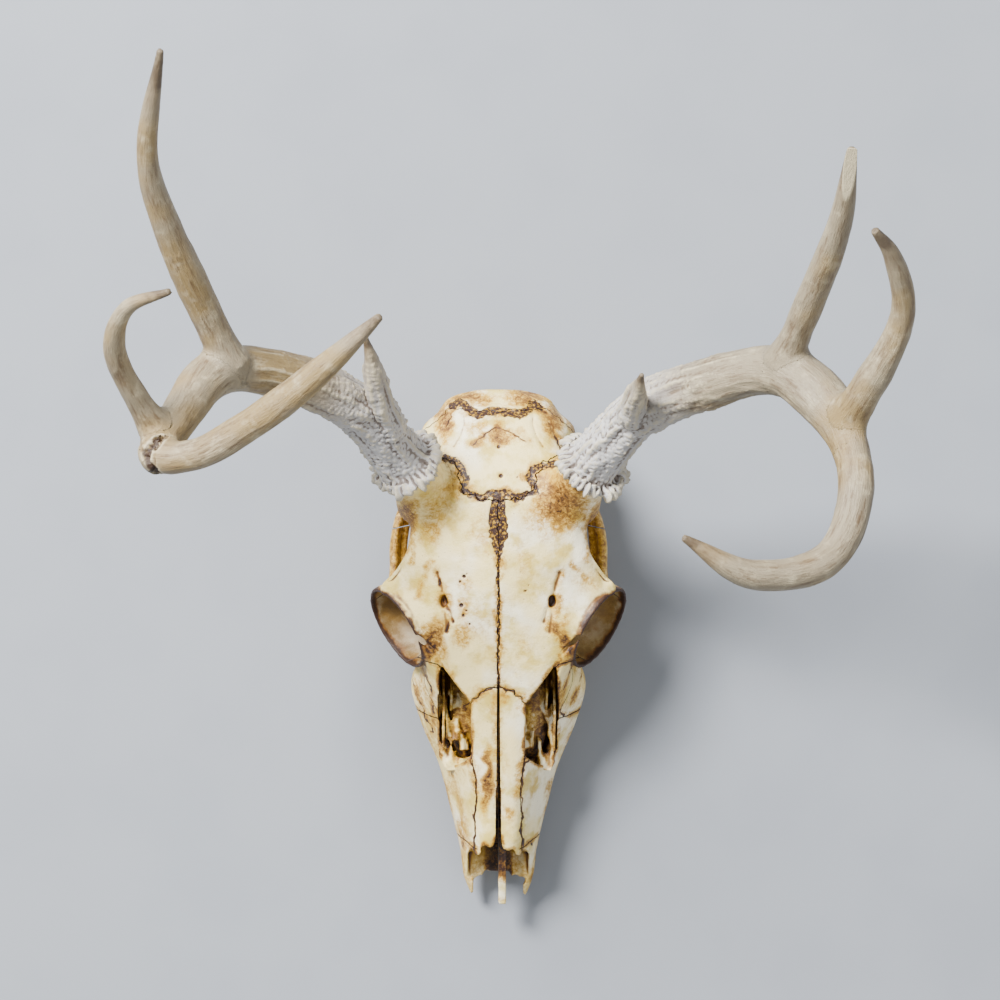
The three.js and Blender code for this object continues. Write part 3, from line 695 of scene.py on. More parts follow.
# ------------------------------------------------------------------ parting the bones
PAIRED_BONES = ("frontal", "nasal", "maxilla", "premaxilla", "lacrimal", "zygomatic", "temporal")
BONES = ["parietal", "occipital", "skull_base"]
BONES += [f"{bone}_{side}" for bone in PAIRED_BONES for side in SIDES]
CRUMB = 200  # a loose piece with fewer points than this is dust from the cuts


def sutures():
    """Thin walls that part the bones from each other, as one solid."""
    slope, base = LAMBDOID_LEAN
    lambdoid = toothed(mirrored(LAMBDOID), 0.8, 3)
    foot = [[x, y + slope * (ROOF_CUT_Z - base)] for x, y in lambdoid]
    walls = [
        saw(toothed(mirrored(CORONAL), 1.0, 1), ROOF_CUT_Z, ABOVE),
        saw(lambdoid, BELOW, ABOVE, lean=LAMBDOID_LEAN),
        level([[-80, -80], [80, -80], *foot[::-1]], ROOF_CUT_Z),
        saw(toothed([[0, -91], [0, 0.1]], 0.7, 7), ROOF_CUT_Z, ABOVE),
        saw(toothed(mirrored(NASOFRONTAL), 0.9, 9), NASAL_FOOT_Z + 10, ABOVE),
        prism(NASAL_GAP, NASAL_FOOT_Z, ABOVE),
        saw([[0, NOSE_Y[0]], [0, PALATE_BACK_Y]], BELOW, PALATE_TOP_Z),
        saw(PREMAXILLA_BACK, BELOW, PALATE_TOP_Z),
        saw([[-HALF_HEAD, PALATE_BACK_Y], [HALF_HEAD, PALATE_BACK_Y]], BELOW, CHEEK_CUT_Z + CUT),
    ]
    for side in SIDES.values():
        cheek = [[-1, -113], *CHEEK_FLOOR, [HALF_HEAD, PALATE_BACK_Y], [-1, PALATE_BACK_Y]]
        walls += [
            saw(flip(toothed(NASAL_EDGE, 0.3, 11), side), NASAL_FOOT_Z, ABOVE),
            saw(flip(toothed(PREMAXILLA_EDGE, 0.4, 13), side), BELOW, ARCH_TOP_Z),
            saw(flip(FRONTAL_EDGE, side), ROOF_CUT_Z, ABOVE),
            level(flip([*CHEEK_LINE, *FRONTAL_EDGE[::-1]], side), ROOF_CUT_Z),
            saw(flip(CHEEK_LINE, side), CHEEK_CUT_Z, ABOVE),
            saw(flip(CHEEK_FLOOR, side), CHEEK_CUT_Z, PALATE_TOP_Z),
            level(flip(cheek, side), CHEEK_CUT_Z),
            saw(flip(CHEEK_BACK, side), CHEEK_CUT_Z, ROOF_CUT_Z + CUT),
            saw(flip(CHEEK_BACK[1:], side), BELOW, ROOF_CUT_Z),
            saw(flip(ARCH_JOIN, side), CHEEK_CUT_Z, ARCH_TOP_Z),
            saw(flip(TEMPORAL, side), 0, ROOF_CUT_Z + CUT),
        ]
    joined = walls.pop()
    for wall in walls:
        joined = boolean(joined, wall, "UNION")
    return joined


def parted(head):
    """The bones, each by the name of the node that it stands for."""
    pieces = [mesh for mesh in apart(boolean(head, sutures(), "DIFFERENCE")) if len(mesh.vertices) > CRUMB]
    corners = {}
    for mesh in pieces:
        places = places_of(mesh)
        corners[mesh.name] = np.concatenate([places.min(0), places.max(0)])
    back = TO_FRAME.inverted()
    bones = {}
    for node in BONES:
        low, high = (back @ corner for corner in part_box(node))
        wanted = np.array([*low, *high])
        best = min(pieces, key=lambda mesh: np.abs(corners[mesh.name] - wanted).sum())
        miss = np.abs(corners[best.name] - wanted).max()
        print(f"bone {node}: {len(best.polygons)} faces, box within {miss:.2f} mm")
        bones[node] = best
    if len({mesh.name for mesh in bones.values()}) < len(BONES):
        raise RuntimeError("two bones are still joined at a suture")
    return bones


# ------------------------------------------------------------------ sculpting the bone
# Lines on the roof of the skull, in plan. The wide seams are bands of interlocking teeth.
CORONAL_BAND = [[-27, 20.5], [-19.7, 18.4], [-15, 9.8], [-17.2, 5.3], [-13.8, 2.8], [-7.4, 0.7], [-4.3, 3.1],
                [4.8, 3.4], [8.2, 0.3], [12.8, 2.5], [18, 4.3], [14.6, 11.4], [17.7, 15.4], [28.7, 17.5]]
LAMBDOID_BAND = [[-22.6, 46.1], [-18.6, 48], [-13.1, 43.3], [-9.9, 41.5], [-4.4, 43.3], [1.8, 43],
                 [6.1, 41.9], [10.4, 41.5], [14.2, 43.6], [16.9, 47], [19.7, 45.5]]
INTERFRONTAL = [[0, 2], [0, -91]]
BAND_HALF_WIDTH = [[-91, 0.5], [-40, 0.6], [-28, 1.0], [-24, 1.8], [-16, 4.2], [-6, 3.8], [2, 2.8]]
PARIETAL_RIDGE = [[-12.5, 26.5], [-0.4, 35.7], [12.5, 28.5]]
TEMPORAL_LINE = [[17, 42.5], [16.5, 37], [18.2, 31.5], [21.5, 26]]
SQUAMOUS_LINE = [[21, 45.5], [24.5, 39.5], [27.5, 32], [30.3, 25]]
FORAMEN = [26.8, -49.3]
BROW_GROOVES = [[[29.7, -35.5], [27.5, -43], FORAMEN, [25.6, -57], [24.8, -63.8]],
                [FORAMEN, [23.8, -53], [22.2, -59]]]
ROOF_PITS = [(-18.6, -39.4, 0.6), (-15.2, -35.6, 0.5), (-13.8, -60, 0.5), (14.6, -41, 0.4), (9, 11, 0.5),
             (0.1, 25.9, 0.9), (1.2, 11.7, 1.1), (-16.6, -37, 0.9), (-18, -51, 1.0), (-17, -56, 0.8),
             (-15.5, -53.5, 0.6), (13, -44, 0.5)]

# Sutures and cracks that show as thin dark lines, in plan.
SEAM_LINES = [
    mirrored(NASOFRONTAL), [[0, -78], [0.6, -86], [0, -91]],
    [[1.5, -91], [4, -93], [2.4, -95], [4.4, -96.5], [2.8, -98.4]],
    [[-37.6, -81.4], [-35.2, -87], [-32.7, -94.7], [-32, -106.4], [-33, -115.3]],
    [[-43.8, -85.8], [-40.6, -93.2], [-39.4, -98.1], [-36.5, -107], [-32.6, -115.3]],
    [[36.6, -81.4], [34.6, -86], [33.2, -90.3], [31.2, -96.6], [31.2, -105], [33.2, -106.4]],
    [[41, -86], [39, -94], [36, -101]],
]
PAIRED_SEAMS = [SQUAMOUS_LINE, [[16.4, -126.6], [13.3, -129.5], *NASAL_EDGE[2:5], [11.6, -171.5]],
                [[17, -171], [18.4, -173.4], [18.4, -180]]]

# Stains on the roof, in plan: x and y of the middle, half width, half length and strength.
# Some are painted shade instead: on the arches at (±48, -14) and (44, -18), beside the front of the right
# pedicle at (-43, -10) and in the slots at (±33.6, -71.6); those round the brow holes at (±26.8, -49.3) are
# partly stain and partly painted shade.
STAINS_AND_SHADE = [
    (30, -1, 14, 17, 1.25), (38, 4, 8, 12, 0.9), (22, -8, 12, 14, 0.5), (-30, -4, 12, 13, 0.55),
    (-43, -10, 6, 14, 1.1), (-22, 4, 8, 8, 0.6), (43, -40, 9, 9, 0.4), (-31, -66, 7, 9, 1.1),
    (-27, -72, 5, 8, 0.7), (29, -63, 6, 7, 1.0), (33, -57, 5, 7, 0.5), (-17, -40, 6, 7, 0.5),
    (-17, -66, 6, 9, 0.65), (12, -70, 8, 10, 0.35), (-4.8, -137, 3.4, 18, 1.3), (-5.5, -150, 3, 10, 0.9),
    (5.2, -155, 4, 6, 1.1), (5, -130, 3, 9, 0.4), (0, 30, 7, 6, 1.1), (0, 33, 4, 4, 1.3),
    (-14, 50, 14, 5, 1.0), (14, 50, 14, 5, 1.0), (26, 38, 6, 13, 1.0), (-26, 38, 6, 13, 1.0),
    (-11, 35, 7, 6, 0.5), (48, -14, 6, 16, 1.3), (-48, -14, 6, 16, 1.3), (44, -18, 5, 12, 0.7),
    (-33, -14, 7, 10, 0.6), (37, -71, 9, 6, 0.8), (12, -30, 8, 16, 0.35), (-9, -60, 7, 14, 0.35),
    (-37, -71, 9, 6, 0.8), (15, -157, 5, 14, 0.4), (-14, -125, 3, 6, 1.1), (36, -96, 6, 9, 0.5),
    (-36, -92, 6, 9, 0.4), (24, -150, 6, 16, 0.5), (0.3, -58, 2.4, 26, 0.9), (-7, -16, 9, 16, 0.4),
    (20, 10, 8, 8, 0.8), (-20, 11, 7, 7, 0.7), (33.6, -71.6, 4, 8, 1.7), (-33.6, -71.6, 4, 8, 1.7),
    (26.8, -49.3, 4, 6, 0.8), (-26.8, -49.3, 4, 6, 0.8), (-17, -52, 5, 7, 0.6),
]
STAIN_STREAKS = [[[-33, -30], [-39.5, -45]], [[36, -30], [44, -41]], [[-40, -8], [-42.5, -30]],
                 [[40.5, -8], [43, -30]], [[-29, -76], [-16, -97]], [[29, -76], [16, -97]]]
# Lines that a stain has spread from, and how strongly.
HALOS = [(CORONAL_BAND, 0.8), (LAMBDOID_BAND, 0.75), (INTERFRONTAL, 0.7), (mirrored(NASOFRONTAL), 0.6),
         (PARIETAL_RIDGE, 0.95), ([[0, -91], [0, -174]], 0.7)]
PAIRED_HALOS = [(NASAL_EDGE, 0.8), (SQUAMOUS_LINE, 0.85), (BROW_GROOVES[0], 0.6)]


def near_line(spots, line):
    """Distance in plan from each spot to a line."""
    line = np.array(line, float)[:, :2]
    best = np.full(len(spots), 1e9)
    for start, end in zip(line, line[1:]):
        reach = end - start
        share = np.clip(((spots[:, :2] - start) @ reach) / (reach @ reach), 0, 1)
        best = np.minimum(best, np.hypot(*(spots[:, :2] - start - share[:, None] * reach).T))
    return best


def groove(spots, line, width):
    """1 on a line in plan, and smoothly less beside it."""
    return np.exp(-(near_line(spots, line) / width) ** 2)


def shifted(places, amount, size, seeds):
    """The places, each moved a little along every axis, so that what is drawn by them is ragged."""
    return places + amount * np.stack([noise(places, size, seed) for seed in seeds], axis=1)


def seam_bands(spots):
    """How much each spot belongs to one of the wide toothed seams, from 0 to 1."""
    sway = spots.copy()
    sway[:, 0] += 0.9 * noise(spots, 1.5, 31)
    sway[:, 1] += 0.9 * noise(spots, 1.5, 32)
    half = along(BAND_HALF_WIDTH, np.clip(spots[:, 1], -91, 2))
    middle = ramp(half + 0.5, half - 0.3, near_line(sway, INTERFRONTAL))
    coronal = ramp(2.1, 1.2, near_line(sway, CORONAL_BAND))
    lambdoid = ramp(2.4, 1.4, near_line(sway, LAMBDOID_BAND))
    return np.maximum(np.maximum(middle, coronal), lambdoid) * ramp(*ROOF_LEVELS, spots[:, 2])


def from_orbit(places, side):
    """Each place along an eye socket's axes: back, up and out from its middle."""
    return ((places - on_side(ORBIT["centre"], side)) @ np.array(orbit_frame(side).to_3x3())).T


def fair_brow(head, grain):
    """Lets the roof run smoothly out to the rims of the eye sockets."""
    places, facing = places_of(head), outward(head)
    soft = np.zeros(len(places))
    for side in SIDES.values():
        _, _, out = from_orbit(places, side)
        near = np.hypot(places[:, 0] - 42 * side, (places[:, 1] + 60) * 0.75)
        soft = np.maximum(soft, ramp(0, -3.5, out) * ramp(27, 19, near))
    soft *= ramp(0.15, 0.5, facing[:, 2]) * ramp(*ROOF_LEVELS, places[:, 2])
    faired = eased(places, links_of(head), int(90 / grain**2))
    put_places(head, places + (faired - places) * soft[:, None])


def fair_pedicles(head, grain):
    """Fills the creases at the feet of the stumps that carry the antlers."""
    places, facing = places_of(head), outward(head)
    soft = np.zeros(len(places))
    for name, side in SIDES.items():
        beam = run(ANTLERS[name]["beam"], FINE_STEPS)
        below = (places - beam["places"][0]) @ beam["ahead"][0]
        from_root = np.linalg.norm(places - on_side(PEDICLE["root"], side), axis=1)
        soft = np.maximum(soft, ramp(34, 24, from_root) * ramp(-1, -7, below))
    drawn = ((eased(places, links_of(head), int(130 / grain**2)) - places) * facing).sum(axis=1)
    put_places(head, places + facing * (np.clip(drawn, -0.4, 6) * soft)[:, None])


def sculpt_bone(head, grain):
    """Carves the seams, holes and grooves, and gives the bone its uneven, weathered skin."""
    smoothed(head, 3)
    fair_brow(head, grain)
    fair_pedicles(head, grain)
    places, facing = places_of(head), outward(head)
    top = ramp(0.05, 0.5, facing[:, 2]) * ramp(*ROOF_LEVELS, places[:, 2])
    move = 0.28 * layered(places, 14, 21) + 0.14 * layered(places, 4, 22) + 0.05 * noise(places, 1.4, 23)
    bands = seam_bands(places)
    move += bands * (0.55 * beads(places, 2.0, 41) - 0.55)
    move -= 0.4 * groove(places, mirrored(NASOFRONTAL), 0.8) * top
    move += 0.5 * groove(places, PARIETAL_RIDGE, 2.5) * top
    for side in SIDES.values():
        for line in BROW_GROOVES:
            move -= 0.8 * groove(places, flip(line, side), 1.3) * top
        for line in (TEMPORAL_LINE, SQUAMOUS_LINE):
            move -= 0.35 * groove(places, flip(line, side), 0.8) * top
        hole = np.hypot(places[:, 0] - FORAMEN[0] * side, (places[:, 1] - FORAMEN[1]) * 0.7)
        hole += 0.5 * noise(places, 2.5, 24)
        move -= 2.8 * ramp(2.9, 1.3, hole) * top
    for x, y, size in ROOF_PITS:
        move -= size * ramp(size * 1.5, size * 0.6, np.hypot(places[:, 0] - x, places[:, 1] - y)) * top
    put_places(head, places + facing * move[:, None])


def note_hollows(mesh):
    """Keeps at each point how deep it lies in a crevice or a basin, which the materials brown as dirt and
    painted shade, and that it is on the outer skin.
    """
    remember(mesh, "crevice", hollows(mesh, 14))
    remember(mesh, "basin", hollows(mesh, 120))
    remember(mesh, "outer", np.ones(len(mesh.vertices)))


def note_bone(mesh):
    """Keeps at each point what the bone's material needs to know about its place."""
    places, facing = places_of(mesh), outward(mesh)
    remember(mesh, "seam", seam_bands(places))
    remember(mesh, "fine_seam", fine_seams(places))
    rim, socket = eye_sockets(places)
    remember(mesh, "rim", rim)
    remember(mesh, "socket", socket)
    # Faces that turn sideways or down are browned, as painted shade, and kept with the stains.
    flank = ramp(0.75, 0.15, facing[:, 2]) * (0.48 + 0.6 * noise(places, 9, 116))
    # The walls of the room inside the nose are browned strongly, most in the middle of the open nostril:
    # partly stain, and partly painted shade of the cavity.
    nostril_shade = 0.45 + 1.4 * ramp(8, 5.5, np.abs(places[:, 0]))
    nose = in_nose(places, facing) * np.where(places[:, 1] < NOSTRIL_Y, nostril_shade, 1.7)
    remember(mesh, "stain_and_shade", np.maximum(np.maximum(stains_and_shade(places), flank), nose))


def fine_seams(places):
    """How much each point belongs to a thin dark line, from 0 to 1; most lines are broken here and there."""
    ragged = shifted(places, 1, 4, (111, 112, 113)) + shifted(places, 0.6, 1.6, (114, 115, 116)) - places
    high = ramp(50, 56, places[:, 2])
    fine = np.zeros(len(places))
    for line in (*SEAM_LINES, *both_sides(PAIRED_SEAMS)):
        fine = np.maximum(fine, groove(ragged, line, 0.42))
    for line in BROW_GROOVES:  # only the grooves of the right brow are darkened into lines
        fine = np.maximum(fine, high * groove(ragged, flip(line, -1), 0.9))
    fine *= 0.55 + 1.1 * noise(places, 4, 114)
    for line in (PARIETAL_RIDGE, *both_sides([NASAL_EDGE])):
        fine = np.maximum(fine, 0.85 * groove(ragged, line, 0.55))
    return np.clip(fine, 0, 1) * ramp(22, 27, places[:, 2])


def stains_and_shade(places):
    """How brown each point is: stained in patches on the roof and along every edge, with painted shade in
    some of the patches and on the arches' shelves, and browner towards the bottom.
    """
    sway = shifted(places, 2.5, 6, (101, 102, 103))
    spotty = 0.75 + 0.6 * noise(places, 6, 105)
    brown = np.zeros(len(places))
    for x, y, wide, long, strength in STAINS_AND_SHADE:
        away = np.hypot((sway[:, 0] - x) / wide, (sway[:, 1] - y) / long)
        brown = np.maximum(brown, 1.12 * strength * ramp(1.45, 0.1, away))
    uneven = 0.8 + 0.5 * noise(places, 3, 104)
    for streak in STAIN_STREAKS:
        brown = np.maximum(brown, 0.8 * ramp(3.4, 0.3, near_line(sway, streak)) * uneven)
    paired = [(flip(line, side), strength) for line, strength in PAIRED_HALOS for side in SIDES.values()]
    for line, strength in HALOS + paired:
        brown = np.maximum(brown, strength * ramp(5.5, 0.6, near_line(sway, line)) * spotty)
    brown *= ramp(48, 56, places[:, 2])

    # Each edge: its line, its strength, how far it reaches, and the heights between which it sets in.
    close = places + 0.35 * (sway - places)
    sutures_and_cracks = (*SEAM_LINES, *both_sides((CHEEK_LINE, FRONTAL_EDGE, PREMAXILLA_EDGE)))
    edges = [(line, 0.95, 2.8, (20, 26)) for line in sutures_and_cracks]
    edges += [(NASAL_TIPS[1:-1], 1.2, 2.4, (30, 36))]
    edges += [(line, 1.25, 2.4, (-2, -1)) for line in both_sides([[*VACUITY, VACUITY[0]]])]
    for line, strength, reach, levels in edges:
        stained = strength * ramp(reach, 0.3, near_line(close, line)) * spotty
        brown = np.maximum(brown, stained * ramp(*levels, places[:, 2]))
    # The arches' shelves and the gaps beside them are browned as painted shade.
    for shelf in both_sides([ARCH_SHELF]):
        brown = np.maximum(brown, 0.9 * ramp(10, 4, near_line(sway, shelf)) * ramp(60, 54, places[:, 2]))
    return np.maximum(brown, 0.5 * ramp(30, 18, places[:, 2]))


def torn_edges(places, side):
    """How near each point is to the edge of a hole torn through the sheets, from 0 to 1."""
    near = np.zeros(len(places))
    for x, y, wide, long, turn in SCROLL_HOLES[side]:
        angle = math.radians(turn)
        right = (places[:, 0] - x) * math.cos(angle) + (places[:, 1] - y) * math.sin(angle)
        ahead = (places[:, 1] - y) * math.cos(angle) - (places[:, 0] - x) * math.sin(angle)
        reach = np.hypot(right, ahead * wide / long) - wide
        near = np.maximum(near, ramp(2.2, 0.4, reach + 0.6 * noise(places, 2, 123)))
    return near


def nose_stains_and_shade(places):
    """Inside the nose the bone is brown: in patches, as stain, and more so the lower it lies and the nearer
    the middle, as painted shade of the cavity; only the septum's free end, out in the open nostril, is left
    clean.
    """
    deep = ramp(46, 36, places[:, 2] - 0.04 * (places[:, 1] + 110))
    free = ramp(-180, -194, places[:, 1])
    patches = 0.5 * noise(places, 6, 121) + 0.3 * noise(places, 2.5, 122)
    middle = ramp(6, 4, np.abs(places[:, 0]))
    return np.clip(0.5 + 1.0 * deep + 1.1 * middle + patches - 2.6 * free, 0, 1.7)


def in_nose(places, facing):
    """1 on the walls of the room inside the nose, and 0 outside."""
    y = np.clip(places[:, 1], *HEAD_Y)
    middle = (along(ROOF_Z, y) + along(FLOOR_Z, y)) / 2
    inward = np.stack([-places[:, 0], 0 * y, (middle - places[:, 2]) * 0.8], axis=1)
    inward /= np.maximum(np.linalg.norm(inward, axis=1), 1e-6)[:, None]
    in_room = ramp(-74, -78, places[:, 1]) * ramp(-203, -199, places[:, 1])
    return ramp(0, 0.3, (inward * facing).sum(axis=1)) * in_room


def eye_sockets(places):
    """How near each point is to the rim of an eye socket, and how much it is inside one, from 0 to 1."""
    near, inner = np.zeros(len(places)), np.zeros(len(places))
    for side in SIDES.values():
        back, up, out = from_orbit(places, side)
        reach = np.hypot(back / (ORBIT["radius"][0] - 1), up / (ORBIT["radius"][1] - 1))
        gap = np.hypot((reach - 0.97) * 20, (out - 1.5) * 0.8)
        near = np.maximum(near, np.exp(-(gap / (2.9 + 1.5 * noise(places, 4, 115))) ** 2))
        deep = np.sqrt((back / ORBIT["radius"][0]) ** 2 + (up / ORBIT["radius"][1]) ** 2
                       + (out / ORBIT["radius"][2]) ** 2)
        inner = np.maximum(inner, ramp(0.975, 0.955, deep) * ramp(3.5, 1.5, out))
    return near, inner


# ------------------------------------------------------------------ teeth
def crown(x, y, long, wide, side):
    """One lobe of a cheek tooth: a rounded column with a rib down its outer face and a pointed edge."""
    def place(turn, t):
        angle = turn * 2 * math.pi
        outer = np.cos(angle) * side
        rib = 1 + 0.09 * np.clip(outer, 0, 1) ** 6 - 0.06 * np.cos(3 * angle) ** 2
        taper = 0.93 + 0.07 * t
        lean = np.abs(np.sin(angle))
        foot = 2.6 * lean ** 1.5 * (1 - t)
        body = np.sin(np.clip(t * 12, 0, 1) * math.pi / 2) ** 0.5
        return np.stack([x * side + np.cos(angle) * wide * rib * taper * body,
                         y + np.sin(angle) * long * rib * taper * body,
                         foot * body + t * (CROWN_HEIGHT + 3)], axis=1)

    return skin(28, 36, place)


def tooth_row(side):
    """All cheek teeth of one side, with their lobes side by side."""
    crowns = []
    for x, y, long, wide, lobes in TEETH:
        for i in range(lobes):
            crowns.append(crown(x, y + (2 * i + 1 - lobes) * long / lobes, long / lobes * 0.98, wide, side))
    row = cast(heap(crowns), TOOTH_GRAIN)
    smoothed(row, 2)
    roughened(row, 0.1, 2.4, 51)
    # The crowns are ground flat at the floor that they rest on.
    return boolean(row, prism([[-80, -200], [80, -200], [80, 0], [-80, 0]], -9, 0), "DIFFERENCE")


# ------------------------------------------------------------------ inside the nose
# Holes torn through the sheets, per side: x and y of the middle, half width, half length and turn in plan.
SCROLL_HOLES = {
    1: [(22.3, -91.1, 2.3, 7.5, -17), (24.6, -96.7, 1.2, 6.3, 0), (28.3, -98.9, 0.9, 15, 0),
        (14.6, -105.2, 1.8, 3.8, 0), (21.1, -111.9, 2.2, 6.8, 12), (23.4, -121.1, 1.6, 4, 0),
        (15.6, -125.7, 2.6, 2.4, 0), (28.5, -119, 0.9, 10, 0), (15.6, -111.6, 0.6, 3, 0),
        (18.5, -120, 0.6, 5.6, 4), (18, -99, 1.4, 5, -30), (26, -84, 2, 4, 0)],
    -1: [(-26.8, -89.3, 1.6, 8, 0), (-19, -91.8, 1.6, 8, 27), (-20.6, -105.2, 2.4, 1.8, 0),
         (-16.7, -108.8, 1.8, 5.6, 0), (-27.8, -113, 1.4, 7, 0), (-25.7, -120.8, 1.3, 2.4, 0),
         (-17.2, -125.7, 2.8, 1.8, 0), (-21.8, -121.5, 0.7, 2.8, 0), (-20, -121.5, 0.6, 2.8, 0),
         (-14, -114.4, 0.6, 11, 0), (-23.6, -89, 1.1, 6.5, 10), (-24, -103, 0.8, 6, 8)],
}
SCROLL_BARS = [(27.3, -84, -124), (23.5, -86, -104)]  # thin bars left standing: x, and where they run in y


def septum():
    """The upright plate in the middle of the nose, rounded along its edges."""
    plate = prism(SEPTUM["outline"], *SEPTUM["x"])
    upright = Matrix(((0, 0, 1, 0), (1, 0, 0, 0), (0, 1, 0, 0), (0, 0, 0, 1)))  # plan x, y, z to y, z, x
    plate.transform(upright)
    plate = cast(plate, SEPTUM["grain"])
    smoothed(plate, 4)
    roughened(plate, 0.25, 5, 61)
    return plate


def scroll(side):
    """Broken sheets of thin bone inside the nose, above the body of the lower scroll."""
    low = tube(flip(TURBINATE["path"], side), lambda t: evenly(TURBINATE["radius"], t) * 0.75,
               flat=TURBINATE["flat"])
    low.transform(Matrix.Translation((0, 0, -6)))
    middle = np.array(VACUITY).mean(axis=0)
    wider = [(np.array(corner) - middle) * 1.12 + middle for corner in VACUITY]
    sheet = cast(prism(flip(wider, side), *SHEET_LEVELS), SHEET_GRAIN)
    holes = []
    for x, y, wide, long, turn in SCROLL_HOLES[side]:
        turned = Matrix.Rotation(math.radians(turn), 4, "Z")
        holes.append(egg((x, y, 46), (wide * 1.3 + 0.2, long * 1.1, 9), 1, turned))
    sheet = boolean(sheet, cast(heap(holes), HOLE_GRAIN), "DIFFERENCE")
    places = places_of(sheet)
    folds = 2.6 * noise(places * (1.6, 0.7, 0), 9, 71) + 1.6 * noise(places * (1.6, 0.8, 0), 4, 72)
    places[:, 2] += folds + 0.06 * (places[:, 1] + 105) - 3
    put_places(sheet, places)
    bars = []
    for x, y0, y1 in SCROLL_BARS:
        bend = (x * side + 0.4, (y0 + y1) / 2, 49)
        bars.append(tube([(x * side, y0, 46), bend, (x * side, y1, 45)], lambda t: 0 * t + 0.7))
    scrolls = cast(heap([low, sheet, *bars]), SHEET_GRAIN)
    smoothed(scrolls, 2)
    roughened(scrolls, 0.2, 2.5, 75)
    return scrolls


# ------------------------------------------------------------------ antlers
# Old breaks round a beam, per antler: the share of the beam's length, and how deep.
COLLARS = {"right": (0.605, 1.5)}
# Tines whose tip is worn to a slant: how far its face lies from the middle, and its slope along the tine.
WORN = {"left": ("second_tine", -0.6, 0.2)}
WEB_REACH = (20, 46)  # the web at a fork is full this near to the tine's foot, and none this far away
STREAK, FIBRE = 2.8571, 0.71429  # widths of the brown streaks and of the fibres, across the antler
FRILL_HEIGHT = 3.2  # of the middle of the burr's frill, above its foot
WEB_SIZES = (11, 6, 3)  # widths of the creases that are filled, coarse to fine


def tine_radius(radius, length, t):
    """A tine's radius: small inside the beam, spread where it leaves it."""
    away = t * length - TINE_FOOT["at"]
    inside = np.clip(1 + away / TINE_FOOT["at"], 0, 1)
    spread = np.where(away < 0, inside, np.clip(1 - away / TINE_FOOT["length"], 0, None) ** 2)
    return evenly(radius, t) * (0.6 + 0.4 * inside + TINE_FOOT["share"] * spread)


def burr(seat, ahead):
    """The knobbly ring where an antler leaves its pedicle."""
    def place(turn, t):
        angle = turn * 2 * math.pi
        ring = np.stack([np.cos(angle), np.sin(angle), 0 * angle], axis=1)
        knobs = 1 + 0.07 * noise(ring * 3 + 9, 0.8, 81) + 0.05 * noise(ring * 6 + 3, 0.8, 82)
        round_ = np.sin(t * math.pi) ** 0.45
        spot = ring * ((BURR["radius"] - 1) * knobs * round_)[:, None]
        spot[:, 2] = t * (BURR["thick"] + 1)
        return spot

    ring = skin(120, 40, place)
    turn = Vector((0, 0, 1)).rotation_difference(Vector(ahead)).to_matrix().to_4x4()
    ring.transform(Matrix.Translation(Vector(seat)) @ turn)
    return ring


def antler_lines(antler):
    """The middle line and the radius of the beam and of each tine, by the names of their nodes."""
    beam = run(antler["beam"], FINE_STEPS)
    lines = {"beam": (beam, partial(evenly, antler["radius"]))}
    for name, (path, radius) in antler["tines"].items():
        line = run(path, FINE_STEPS // 2)
        lines[f"{name}_tine"] = (line, partial(tine_radius, radius, line["length"]))
    return lines


def lie_on(places, lines):
    """Per point of an antler: its line, how far along, the way out from it, and 1 away from other lines."""
    best, second = np.full((2, len(places)), 1e9)
    which = np.zeros(len(places), int)
    share = np.zeros(len(places))
    aside = np.zeros((len(places), 3))
    for index, (line, radius) in enumerate(lines.values()):
        samples = np.linspace(0, 1, 161)
        middle, size = read(line["places"], samples), radius(samples)
        for start in range(0, len(places), 20000):
            part = slice(start, start + 20000)
            gap = np.linalg.norm(places[part, None] - middle[None], axis=2)
            near = gap.argmin(axis=1)
            score = gap[np.arange(len(near)), near] / size[near]
            closer = score < best[part]
            second[part] = np.where(closer, best[part], np.minimum(second[part], score))
            best[part] = np.where(closer, score, best[part])
            which[part] = np.where(closer, index, which[part])
            share[part] = np.where(closer, samples[near], share[part])
            aside[part] = np.where(closer[:, None], places[part] - middle[near], aside[part])
    return which, share, aside, ramp(0.05, 0.5, second - best)


def tip_share(which, share):
    """How near each point is to the tip of its beam or tine, from 0 to 1."""
    return np.where(which == 0, ramp(0.75, 1, share), ramp(0.35, 0.95, share))


def lay_of(lines, which, share, aside):
    """Coordinates that run with the antler: across it in millimetres, and slowly along it."""
    lay = np.zeros((len(share), 3))
    for index, (line, _) in enumerate(lines.values()):
        mine = which == index
        side, up = read(line["side"], share[mine]), read(line["up"], share[mine])
        lay[mine] = np.stack([(aside[mine] * side).sum(axis=1), (aside[mine] * up).sum(axis=1),
                              share[mine] * line["length"] * 0.14 + 40 * index], axis=1)
    return lay


def web_forks(whole, antler, grain):
    """Fills the creases at the forks, so that each tine flows out of the beam."""
    links = links_of(whole)
    for size in WEB_SIZES:
        places, facing = places_of(whole), outward(whole)
        near = np.zeros(len(places))
        for name, (path, _) in antler["tines"].items():
            scale = 0.55 if name == "brow" else 1
            away = np.linalg.norm(places - np.array(path[0]), axis=1)
            near = np.maximum(near, ramp(WEB_REACH[1] * scale, WEB_REACH[0] * scale, away))
        mine = np.flatnonzero(near > 0)
        number = np.full(len(places), -1)
        number[mine] = np.arange(len(mine))
        inner = number[links]
        inner = inner[(inner >= 0).all(axis=1)]
        drawn = eased(places[mine], inner, int(4 * (size / grain) ** 2)) - places[mine]
        drawn = (drawn * facing[mine]).sum(axis=1)
        places[mine] += facing[mine] * (np.clip(drawn, -0.25, 7) * near[mine] ** 1.5)[:, None]
        put_places(whole, places)
    smoothed(whole, 4)


